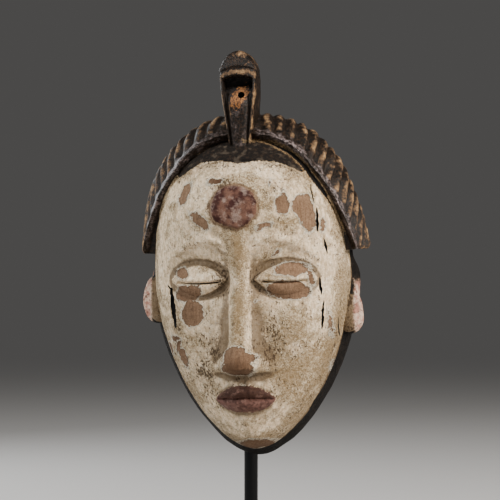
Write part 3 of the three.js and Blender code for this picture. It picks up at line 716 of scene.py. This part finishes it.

# Mask: kaolin, stain and bare wood
# The face is brushed with white kaolin that has flaked off in patches; the lips and the disc are stained
# red. Hair, crest and collar are blackened and rubbed brown on raised edges, and the hollow is bare wood.
# Painted shade darkens the hollows, the tress gap, the crest's deep hollow and the cracks; ridges get a
# painted sheen.


def put(tree, kind, inputs=(), **settings):
    """A node of that kind, with its settings and its inputs by place or name: a socket is linked, a value is
    set."""
    made = tree.nodes.new("ShaderNode" + kind)
    for name, value in settings.items():
        setattr(made, name, value)
    for key, value in dict(inputs).items():
        if isinstance(value, bpy.types.NodeSocket):
            tree.links.new(value, made.inputs[key])
        else:
            made.inputs[key].default_value = value
    return made


def colour(red, green, blue):
    """A linear colour from the usual 0 to 255."""
    levels = [value / 255 for value in (red, green, blue)]
    return (*[v / 12.92 if v <= 0.04045 else ((v + 0.055) / 1.055) ** 2.4 for v in levels], 1.0)


def sums(tree, operation, a, b=0.0, c=0.0):
    """A value from one, two or three others."""
    return put(tree, "Math", {0: a, 1: b, 2: c}, operation=operation).outputs[0]


def times(tree, a, b):
    """A product."""
    return sums(tree, "MULTIPLY", a, b)


def plus(tree, a, b):
    """A sum of two."""
    return sums(tree, "ADD", a, b)


def minus(tree, a, b):
    """The first less the second."""
    return sums(tree, "SUBTRACT", a, b)


def swing(tree, value, strength):
    """How far a noise lies from its middle of a half, times the strength."""
    return times(tree, minus(tree, value, 0.5), strength)


def mix(tree, share, a, b):
    """A colour between two."""
    return put(tree, "Mix", {0: share, 6: a, 7: b}, data_type="RGBA").outputs[2]


def over(tree, base, share, strength, tint):
    """A colour laid over another, as strong as the share times the strength."""
    return mix(tree, times(tree, share, strength), base, tint)


def rise(tree, value, low, high):
    """0 below low and 1 above high, eased between them."""
    return put(tree, "MapRange", {0: value, 1: low, 2: high}, interpolation_type="SMOOTHSTEP").outputs[0]


def noise(tree, place, scale, detail=3.0, rough=0.55, stretch=(1, 1, 1)):
    """Noise of so many cells a millimetre, stretched along the axes."""
    cells = tuple(scale * s for s in stretch)
    grown = put(tree, "VectorMath", {0: place, 1: cells}, operation="MULTIPLY").outputs[0]
    settings = {"Vector": grown, "Scale": 1.0, "Detail": detail, "Roughness": rough}
    return put(tree, "TexNoise", settings).outputs[0]


def millimetres(tree):
    """The place on the object, in millimetres."""
    where = put(tree, "TexCoord").outputs["Object"]
    return put(tree, "VectorMath", {0: where, 3: 1000.0}, operation="SCALE").outputs[0]


def field(tree, name):
    """A field stored on the mesh."""
    return put(tree, "Attribute", attribute_name=name).outputs["Fac"]


def shared(name, takes, gives):
    """A new node group with number sockets of those names, as its tree, its inputs by name and its output
    node."""
    tree = bpy.data.node_groups.new(name, "ShaderNodeTree")
    for label in takes:
        tree.interface.new_socket(label, in_out="INPUT", socket_type="NodeSocketFloat")
    for label in gives:
        tree.interface.new_socket(label, in_out="OUTPUT", socket_type="NodeSocketFloat")
    entry = tree.nodes.new("NodeGroupInput")
    return tree, {label: entry.outputs[label] for label in takes}, tree.nodes.new("NodeGroupOutput")


def use(tree, group, **inputs):
    """A node group in use, with its inputs by name."""
    node = tree.nodes.new("ShaderNodeGroup")
    node.node_tree = group
    for name, value in inputs.items():
        if isinstance(value, bpy.types.NodeSocket):
            tree.links.new(value, node.inputs[name])
        else:
            node.inputs[name].default_value = value
    return node.outputs


def ragged_edge():
    """Turns a field into a crisp mask with a ragged edge, and the strip of thick paint just outside it."""
    tree, take, end = shared("ragged edge", ["Field", "Rag", "Soft"], ["Mask", "Edge"])
    place = millimetres(tree)
    coarse = noise(tree, place, 0.55, 3.0, 0.6)
    fine = noise(tree, place, 2.1, 3.0, 0.65)
    both = plus(tree, times(tree, coarse, 1.4), times(tree, fine, 0.6))
    shift = times(tree, minus(tree, both, 1.0), take["Rag"])
    moved = plus(tree, take["Field"], shift)
    mask = rise(tree, sums(tree, "DIVIDE", moved, take["Soft"]), -0.5, 0.5)
    outer = rise(tree, moved, -0.42, -0.06)
    tree.links.new(mask, end.inputs["Mask"])
    tree.links.new(minus(tree, outer, mask), end.inputs["Edge"])
    return tree


def wood_grain():
    """Fine vertical grain and pores of the carved wood, as a value around a half, and dark pores."""
    tree, take, end = shared("wood grain", ["Fineness"], ["Grain", "Pores"])
    place = millimetres(tree)
    place = put(tree, "VectorMath", {0: place, 3: take["Fineness"]}, operation="SCALE").outputs[0]
    bands = noise(tree, place, 1.0, 4.0, 0.6, (0.9, 0.5, 0.06))
    threads = noise(tree, place, 1.0, 2.0, 0.5, (3.2, 2.0, 0.14))
    value = plus(tree, times(tree, bands, 0.65), times(tree, threads, 0.35))
    tree.links.new(value, end.inputs["Grain"])
    tree.links.new(rise(tree, threads, 0.62, 0.72), end.inputs["Pores"])
    return tree


def speckle():
    """Chips and flecks of dirt, one or two millimetres long and mostly upright, in drifts, as a mask."""
    tree, take, end = shared("speckle", ["Amount"], ["Mask"])
    place = millimetres(tree)
    chips = noise(tree, place, 1.0, 3.0, 0.6, (0.75, 0.75, 0.42))
    drift = noise(tree, place, 0.1, 3.0, 0.6)
    level = sums(tree, "MULTIPLY_ADD", minus(tree, drift, 0.5), 0.45, chips)
    level = sums(tree, "MULTIPLY_ADD", take["Amount"], 0.1, level)
    tree.links.new(rise(tree, level, 0.64, 0.68), end.inputs["Mask"])
    return tree


RAGGED, GRAIN, SPECKLE = ragged_edge(), wood_grain(), speckle()


def finish(material, base, rough, height, depth, **constants):
    """The material's one shader, with its colour, roughness and relief in millimetres."""
    tree = material.node_tree
    bump = put(tree, "Bump", {"Height": height, "Distance": depth / 1000, "Strength": 1.0}).outputs[0]
    shader = put(tree, "BsdfPrincipled", {"Base Color": base, "Roughness": rough, "Normal": bump})
    for name, value in constants.items():
        shader.inputs[name.replace("_", " ")].default_value = value
    output = put(tree, "OutputMaterial", {"Surface": shader.outputs[0]})
    output.is_active_output = True


def bare(name):
    """An emptied material of that name."""
    material = bpy.data.materials.get(name) or bpy.data.materials.new(name)
    material.use_nodes = True
    material.node_tree.nodes.clear()
    return material


def gap_crumbs(tree, grit, reach):
    """Crumbs of dirt at the gap along the right tress's foot: grit inside its edge, grown by reach."""
    near = use(tree, RAGGED, Field=plus(tree, field(tree, "gap"), reach), Rag=1.8, Soft=0.3)["Mask"]
    return times(tree, near, rise(tree, grit, 0.48, 0.54))


def paint_face():
    """White kaolin with everything that covers or breaks it, laid from the bottom up."""
    material = bare("face")
    tree = material.node_tree
    place = millimetres(tree)
    grain = use(tree, GRAIN, Fineness=1.0)
    flecks = use(tree, SPECKLE, Amount=field(tree, "dirt_and_shade"))["Mask"]
    clouds = noise(tree, place, 0.045, 3.0, 0.55)
    mottle = noise(tree, place, 0.16, 5.0, 0.62)
    blotch = noise(tree, place, 0.13, 5.0, 0.5)
    brush = noise(tree, place, 1.0, 4.0, 0.6, (0.5, 0.4, 0.17))
    dabs = noise(tree, place, 0.4, 5.0, 0.65)
    grit = noise(tree, place, 0.95, 4.0, 0.75)
    thin = plus(tree, times(tree, clouds, 0.55), times(tree, mottle, 0.45))
    thin = sums(tree, "MULTIPLY_ADD", field(tree, "stain"), 0.13, thin)
    rubbed = rise(tree, thin, 0.47, 0.6)
    thick = mix(tree, rise(tree, brush, 0.4, 0.62), colour(235, 211, 178), colour(198, 173, 140))
    thick = over(tree, thick, rise(tree, dabs, 0.52, 0.62), 0.7, colour(255, 238, 212))
    thick = over(tree, thick, rise(tree, grit, 0.52, 0.64), 0.4, colour(150, 128, 102))
    sand = noise(tree, place, 1.25, 2.0, 0.6)
    tan = mix(tree, rise(tree, dabs, 0.42, 0.58), colour(148, 125, 93), colour(196, 176, 144))
    tan = over(tree, tan, rise(tree, sand, 0.54, 0.62), 0.7, colour(228, 211, 182))
    tan = over(tree, tan, rise(tree, grit, 0.48, 0.58), 0.7, colour(106, 86, 62))
    kaolin = mix(tree, rubbed, thick, tan)
    deep = times(tree, field(tree, "stain"), rise(tree, thin, 0.56, 0.7))
    kaolin = over(tree, kaolin, deep, 0.45, colour(132, 108, 76))
    # Dirt, and painted shade in the hollows, as grey-brown blotches on the paint.
    dirt_and_shade = times(tree, field(tree, "dirt_and_shade"), rise(tree, plus(tree, dabs, grit), 0.8, 1.16))
    kaolin = over(tree, kaolin, dirt_and_shade, 0.5, colour(104, 90, 72))
    # Painted shade, with dirt, darkens the paint in the face's hollows.
    hollow_shade_and_dirt = plus(tree, field(tree, "hollow_shade_and_dirt"), swing(tree, dabs, 1.1))
    kaolin = over(tree, kaolin, rise(tree, hollow_shade_and_dirt, 0.06, 0.7), 0.8, colour(92, 74, 54))
    kaolin = over(tree, kaolin, flecks, 0.85, colour(66, 50, 36))
    loss = use(tree, RAGGED, Field=field(tree, "loss"), Rag=0.95, Soft=0.16)
    wood = mix(tree, rise(tree, grain["Grain"], 0.3, 0.7), colour(114, 88, 66), colour(148, 120, 96))
    wood = over(tree, wood, rise(tree, grit, 0.48, 0.62), 0.6, colour(80, 57, 40))
    # The bare wood darkens too where dirt and painted shade lie.
    wood = over(tree, wood, field(tree, "dirt_and_shade"), 0.8, colour(72, 48, 30))
    painted = over(tree, kaolin, loss["Edge"], 0.65, colour(244, 234, 214))
    painted = mix(tree, loss["Mask"], painted, wood)
    disc = use(tree, RAGGED, Field=field(tree, "disc"), Rag=0.6, Soft=0.25)
    reds = mix(tree, rise(tree, blotch, 0.4, 0.6), colour(56, 27, 22), colour(108, 76, 62))
    reds = over(tree, reds, rise(tree, mottle, 0.48, 0.68), 0.75, colour(156, 134, 122))
    reds = over(tree, reds, rise(tree, grit, 0.5, 0.64), 0.5, colour(50, 28, 22))
    around_disc = plus(tree, field(tree, "disc"), 0.55)
    margin = use(tree, RAGGED, Field=around_disc, Rag=1.0, Soft=0.3)["Mask"]
    painted = over(tree, painted, margin, 0.8, wood)
    painted = mix(tree, disc["Mask"], painted, reds)
    lip = use(tree, RAGGED, Field=field(tree, "lip"), Rag=1.2, Soft=0.5)
    height = put(tree, "SeparateXYZ", {0: place}).outputs[2]
    lip_red = mix(tree, rise(tree, height, 155.0, 158.0), colour(106, 74, 65), colour(78, 53, 43))
    lip_red = over(tree, lip_red, rise(tree, dabs, 0.46, 0.6), 0.6, colour(52, 31, 26))
    lip_red = over(tree, lip_red, rise(tree, mottle, 0.52, 0.64), 0.5, colour(150, 116, 104))
    painted = mix(tree, lip["Mask"], painted, lip_red)
    ear_mask = use(tree, RAGGED, Field=field(tree, "ear"), Rag=0.9, Soft=0.9)["Mask"]
    pink = mix(tree, rise(tree, mottle, 0.42, 0.58), colour(168, 122, 106), colour(208, 182, 162))
    pink = mix(tree, rise(tree, dabs, 0.56, 0.66), pink, colour(104, 68, 52))
    painted = mix(tree, ear_mask, painted, pink)
    band = use(tree, RAGGED, Field=field(tree, "band"), Rag=0.8, Soft=0.25)["Mask"]
    collar = use(tree, RAGGED, Field=field(tree, "collar"), Rag=0.5, Soft=0.2)["Mask"]
    off_ear = minus(tree, 1.0, ear_mask)
    dark = sums(tree, "MAXIMUM", band, times(tree, collar, off_ear))
    blacks = mix(tree, rise(tree, dabs, 0.45, 0.7), colour(18, 13, 9), colour(47, 35, 25))
    olive = rise(tree, mottle, 0.52, 0.64)
    olive = times(tree, olive, sums(tree, "MULTIPLY_ADD", band, 0.35, 0.2))
    blacks = mix(tree, olive, blacks, colour(82, 72, 60))
    blacks = mix(tree, sums(tree, "MULTIPLY_ADD", band, -0.65, 0.65), blacks, colour(7, 5, 4))
    painted = mix(tree, dark, painted, blacks)
    painted = over(tree, painted, gap_crumbs(tree, grit, 0.8), 0.9, colour(142, 116, 82))
    gap = use(tree, RAGGED, Field=field(tree, "gap"), Rag=1.1, Soft=0.3)
    painted = over(tree, painted, gap["Edge"], 0.3, colour(150, 120, 86))
    # The gap itself near-black: painted shade in the groove at the tresses' foot.
    painted = mix(tree, gap["Mask"], painted, colour(14, 11, 9))
    smooth = sums(tree, "MAXIMUM", lip["Mask"], times(tree, disc["Mask"], 0.6))
    smooth = sums(tree, "MAXIMUM", dark, smooth)
    rough = sums(tree, "MULTIPLY_ADD", smooth, -0.3, 0.82)
    rough = sums(tree, "MULTIPLY_ADD", dark, 0.16, rough)
    rough = plus(tree, rough, times(tree, dabs, 0.08))
    paint_height = times(tree, dabs, 0.7)
    paint_height = minus(tree, paint_height, times(tree, loss["Mask"], 0.6))
    paint_height = plus(tree, paint_height, times(tree, brush, 0.25))
    paint_height = minus(tree, paint_height, times(tree, flecks, 0.3))
    paint_height = plus(tree, paint_height, times(tree, loss["Edge"], 0.3))
    finish(material, painted, rough, paint_height, 1.6, Specular_IOR_Level=0.15)


def paint_hair(name, rib_low, rib_high, gloss):
    """Blackened hair, rubbed to brown wood on its raised edges, with a greyish painted sheen on its smooth
    ridges and crumbs of dirt at the gap. The crest's deep hollow is blackened, partly as painted shade, and
    it has a patch of bare orange wood."""
    material = bare(name)
    tree = material.node_tree
    place = millimetres(tree)
    grain = use(tree, GRAIN, Fineness=1.4)["Grain"]
    wear, sheen = field(tree, "wear"), field(tree, "sheen")
    mottle = noise(tree, place, 0.14, 4.0, 0.6)
    dabs = noise(tree, place, 0.6, 4.0, 0.65)
    grit = noise(tree, place, 0.95, 4.0, 0.75)
    drift = noise(tree, place, 0.07, 3.0, 0.55)
    black = mix(tree, rise(tree, dabs, 0.42, 0.64), colour(10, 7, 4), colour(44, 30, 19))
    # Painted sheen: a greyish painted highlight laid on the smooth ridges.
    painted_sheen = plus(tree, mottle, times(tree, dabs, 0.4))
    painted_sheen = times(tree, sheen, rise(tree, painted_sheen, 0.57, 0.88))
    streaks = rise(tree, noise(tree, place, 0.5, 4.0, 0.7), 0.42, 0.62)
    black = mix(tree, times(tree, painted_sheen, streaks), black, colour(142, 128, 126))
    level = wear
    for value, strength in ((mottle, 1.6), (dabs, 1.3), (grit, 1.2), (drift, 1.9)):
        level = plus(tree, level, swing(tree, value, strength))
    rubbed = rise(tree, level, rib_low, rib_high)
    brown = mix(tree, rise(tree, grain, 0.38, 0.62), colour(78, 58, 41), colour(126, 99, 72))
    brown = mix(tree, rise(tree, level, rib_high + 0.05, rib_high + 0.4), brown, colour(168, 134, 94))
    brown = over(tree, brown, rise(tree, grit, 0.5, 0.6), 0.6, colour(64, 44, 28))
    hair = over(tree, black, rubbed, 0.85, brown)
    hair = over(tree, hair, gap_crumbs(tree, grit, 0.9), 0.85, colour(146, 120, 84))
    if name == "crest":
        # The crest's deep hollow near-black, partly painted shade under the overhanging cap.
        hair = over(tree, hair, field(tree, "soot_and_shade"), 0.85, colour(12, 9, 7))
        orange = mix(tree, rise(tree, grain, 0.36, 0.6), colour(100, 60, 32), colour(178, 120, 66))
        orange = over(tree, orange, rise(tree, grit, 0.46, 0.56), 0.85, colour(52, 30, 15))
        patch = use(tree, RAGGED, Field=field(tree, "bare"), Rag=1.5, Soft=0.3)["Mask"]
        hair = mix(tree, patch, hair, orange)
    rough = times(tree, rubbed, 0.2)
    rough = plus(tree, rough, sums(tree, "MULTIPLY_ADD", sheen, -0.16, 0.5))
    height = plus(tree, times(tree, dabs, 0.6), times(tree, grain, 0.4))
    finish(material, hair, rough, height, 0.9, Specular_IOR_Level=gloss)


def paint_inside(name, low, high, worn):
    """Wood with vertical grain: bare and darkened by handling in the hollow, near-black painted shade in
    cracks.
    """
    material = bare(name)
    tree = material.node_tree
    grain = use(tree, GRAIN, Fineness=0.8)
    clouds = noise(tree, millimetres(tree), 0.05, 4.0, 0.6)
    wood = mix(tree, rise(tree, grain["Grain"], 0.34, 0.66), low, high)
    wood = over(tree, wood, rise(tree, clouds, 0.42, 0.62), 0.6, worn)
    wood = over(tree, wood, grain["Pores"], 0.5, colour(40, 27, 19))
    finish(material, wood, 0.72, grain["Grain"], 0.6)


paint_face()
paint_hair("tresses", 0.64, 0.98, 0.24)
paint_hair("crest", 0.5, 0.88, 0.2)
paint_inside("inside", colour(92, 64, 44), colour(133, 98, 68), colour(66, 47, 34))
# The walls of the cracks and the drilled hole are near-black: painted shade.
paint_inside("dark", colour(12, 9, 8), colour(24, 18, 14), colour(10, 8, 7))

# Rod
# A round steel rod of 10.5 mm, painted gloss black. It stands in the foot, bends forward behind the mask's
# cheeks and up again, and carries the mask under the ceiling of its hollow.

ARM_HEIGHT = 290.0
ARM_REACH = 40.0
LOWER_BEND = 24.0
UPPER_BEND = 14.0
END_ROUND = 2.0


def finished(piece, node, material):
    """A piece in millimetres becomes one in metres that stands for the CAD node, with material and slot."""
    points = np.empty(3 * len(piece.data.vertices))
    piece.data.vertices.foreach_get("co", points)
    piece.data.vertices.foreach_set("co", points / 1000)
    piece.data.shade_smooth()
    piece.data.set_sharp_from_angle(angle=math.radians(SHARP_ANGLE))
    piece.data.update()
    piece.data.materials.append(material)
    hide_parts(node)
    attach(piece, "root")


def rod():
    """Circles carried along a line in the plane x = 0: straight up, a quarter turn forward, a quarter turn
    up, and a round end."""
    low, high = (np.array(corner) * 1000 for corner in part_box("stand_rod"))
    radius = (high[0] - low[0]) / 2
    quarter = np.linspace(0, np.pi / 2, 25)
    back = quarter[::-1]
    closing = np.linspace(0, np.pi / 2, 8)
    y = [[0, 0], LOWER_BEND * (np.cos(quarter) - 1), UPPER_BEND * (1 - np.cos(back)) - ARM_REACH]
    y += [np.full(8, -ARM_REACH)]
    z = [[low[2], low[2] + 1], ARM_HEIGHT - LOWER_BEND * (1 - np.sin(quarter))]
    z += [ARM_HEIGHT + UPPER_BEND * (1 - np.sin(back)), high[2] - END_ROUND * (1 - np.sin(closing))]
    turn = [[0, 0], quarter, back, np.zeros(8)]
    size = [[radius - 1, radius], np.full(50, radius), radius - END_ROUND * (1 - np.cos(closing))]
    y, z, turn, size = (np.concatenate(parts)[:, None] for parts in (y, z, turn, size))
    around = np.linspace(0, 2 * np.pi, 48, endpoint=False)
    rings = np.stack([size * np.cos(around), y + size * np.sin(around) * np.cos(turn),
                      z + size * np.sin(around) * np.sin(turn)], -1)
    return skin("rod", rings, (0, 0, low[2]), (0, -ARM_REACH, high[2]))


def lacquer(name, base, rough, scratch, coat):
    """Black paint or lacquer: even, with faint dust, fine scuffs and a clear coat."""
    material = bare(name)
    tree = material.node_tree
    place = millimetres(tree)
    dust = noise(tree, place, 0.08, 4.0, 0.6)
    scuffs = noise(tree, place, 1.0, 2.0, 0.5, scratch)
    black = over(tree, base, rise(tree, dust, 0.5, 0.75), 0.15, colour(20, 20, 22))
    level = plus(tree, times(tree, rise(tree, scuffs, 0.55, 0.75), 0.14), rough)
    finish(material, black, level, scuffs, 0.02,
           Coat_Weight=coat, Coat_Roughness=0.12, Specular_IOR_Level=0.12)
    return material


steel = lacquer("black_steel", colour(1, 2, 3), 0.14, (0.6, 0.6, 0.05), 0.04)
finished(rod(), "stand_rod", steel)

# Foot
# A square block of wood, 140 mm wide and 24 mm thick, lacquered black, with softened edges and corners.
# The rod is glued into a blind hole in its middle.

FOOT_CORNER = 4.0
FOOT_EDGE = 2.0
HOLE_RADIUS = 5.55
HOLE_FLOOR = 8.0


def foot():
    """Rings of a square with round corners, drawn in by quarter circles below and above, each with one more
    ring inside it that keeps the flat face flat, then in to the round hole and down to its floor."""
    low, high = (np.array(corner) * 1000 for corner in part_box("stand_base"))
    half, thick = high[0], high[2] - low[2]
    corner = np.linspace(0, np.pi / 2, 13)
    turn = np.concatenate([corner + quarter * np.pi / 2 for quarter in range(4)])
    middle = np.repeat(np.arange(4) * np.pi / 2 + np.pi / 4, 13)
    inner = (half - FOOT_CORNER) * math.sqrt(2)
    edge = np.linspace(0, np.pi / 2, 7)
    rounded_in = FOOT_EDGE * (1 - np.sin(edge))
    rounded_up = FOOT_EDGE * (1 - np.cos(edge))
    drawn_in = np.concatenate([[FOOT_EDGE + 1], rounded_in, rounded_in[::-1], [FOOT_EDGE + 1]])[:, None]
    height = np.concatenate([[0], rounded_up, thick - rounded_up[::-1], [thick]])[:, None]
    x = inner * np.cos(middle) + (FOOT_CORNER - drawn_in) * np.cos(turn)
    y = inner * np.sin(middle) + (FOOT_CORNER - drawn_in) * np.sin(turn)
    outside = np.stack([x, y, height + 0 * x], -1)
    away = np.arctan2(y[0], x[0])
    radius = np.array([30.0, HOLE_RADIUS + 0.4, HOLE_RADIUS, HOLE_RADIUS])[:, None]
    level = np.array([thick, thick, thick - 0.4, HOLE_FLOOR])[:, None]
    inside = np.stack([radius * np.cos(away), radius * np.sin(away), level + 0 * away], -1)
    return skin("foot", np.concatenate([outside, inside]), (0, 0, 0), (0, 0, HOLE_FLOOR))


satin = lacquer("black_lacquer", colour(14, 12, 11), 0.3, (0.06, 0.9, 0.9), 0.3)
finished(foot(), "stand_base", satin)

# Floor and light
# A plain pale floor that runs far out under an even surround, and four soft square lights: a cool one on the
# left, a stronger warm one on the right, one above in front and a weak one behind.

SURROUND = (0.80, 0.78, 0.76, 1)
SURROUND_STRENGTH = 0.095
FLOOR_REACH = 30.0
FADE_START = 700
FADE_END = 3600
MASK_MIDDLE = (0.0, 0.0, 0.26)


def lay_floor():
    """A wide square floor at the foot's underside; far out it fades into the surround, without an edge."""
    signs = [(-1, -1), (1, -1), (1, 1), (-1, 1)]
    corners = [(FLOOR_REACH * right, FLOOR_REACH * back, 0) for right, back in signs]
    mesh = bpy.data.meshes.new("floor")
    mesh.from_pydata(corners, [], [(0, 1, 2, 3)])
    floor = bpy.data.objects.new("floor", mesh)
    bpy.context.scene.collection.objects.link(floor)
    material = bare("floor")
    tree = material.node_tree
    far = put(tree, "VectorMath", {0: millimetres(tree)}, operation="LENGTH").outputs[1]
    near = put(tree, "BsdfPrincipled", {"Base Color": (0.6, 0.585, 0.57, 1), "Roughness": 0.9})
    away = put(tree, "Emission", {"Color": SURROUND, "Strength": SURROUND_STRENGTH})
    fade = rise(tree, far, FADE_START, FADE_END)
    both = put(tree, "MixShader", {0: fade, 1: near.outputs[0], 2: away.outputs[0]})
    put(tree, "OutputMaterial", {0: both.outputs[0]})
    mesh.materials.append(material)


def area_light(name, spot, aim, size, power, tint):
    """A square soft light that faces a point."""
    light = bpy.data.lights.new(name, "AREA")
    light.size = size
    light.energy = power
    light.color = tint
    holder = bpy.data.objects.new(name, light)
    holder.location = spot
    holder.rotation_euler = (Vector(aim) - Vector(spot)).to_track_quat("-Z", "Y").to_euler()
    bpy.context.scene.collection.objects.link(holder)


def light_world():
    """An even pale surround."""
    world = bpy.data.worlds.new("studio")
    world.use_nodes = True
    shade = world.node_tree.nodes["Background"]
    shade.inputs[0].default_value = SURROUND
    shade.inputs[1].default_value = SURROUND_STRENGTH
    bpy.context.scene.world = world


lay_floor()
light_world()
area_light("left", (-1.2, -0.55, 1.05), MASK_MIDDLE, 0.4, 18, (0.94, 0.98, 1.0))
area_light("right", (1.25, -0.5, 0.85), MASK_MIDDLE, 0.45, 33, (1.0, 0.95, 0.89))
area_light("top", (0.0, -0.8, 1.4), MASK_MIDDLE, 0.35, 11, (1.0, 0.98, 0.96))
area_light("back", (-0.75, 0.75, 0.6), (0.0, 0.0, 0.28), 0.4, 4, (0.94, 0.97, 1.0))
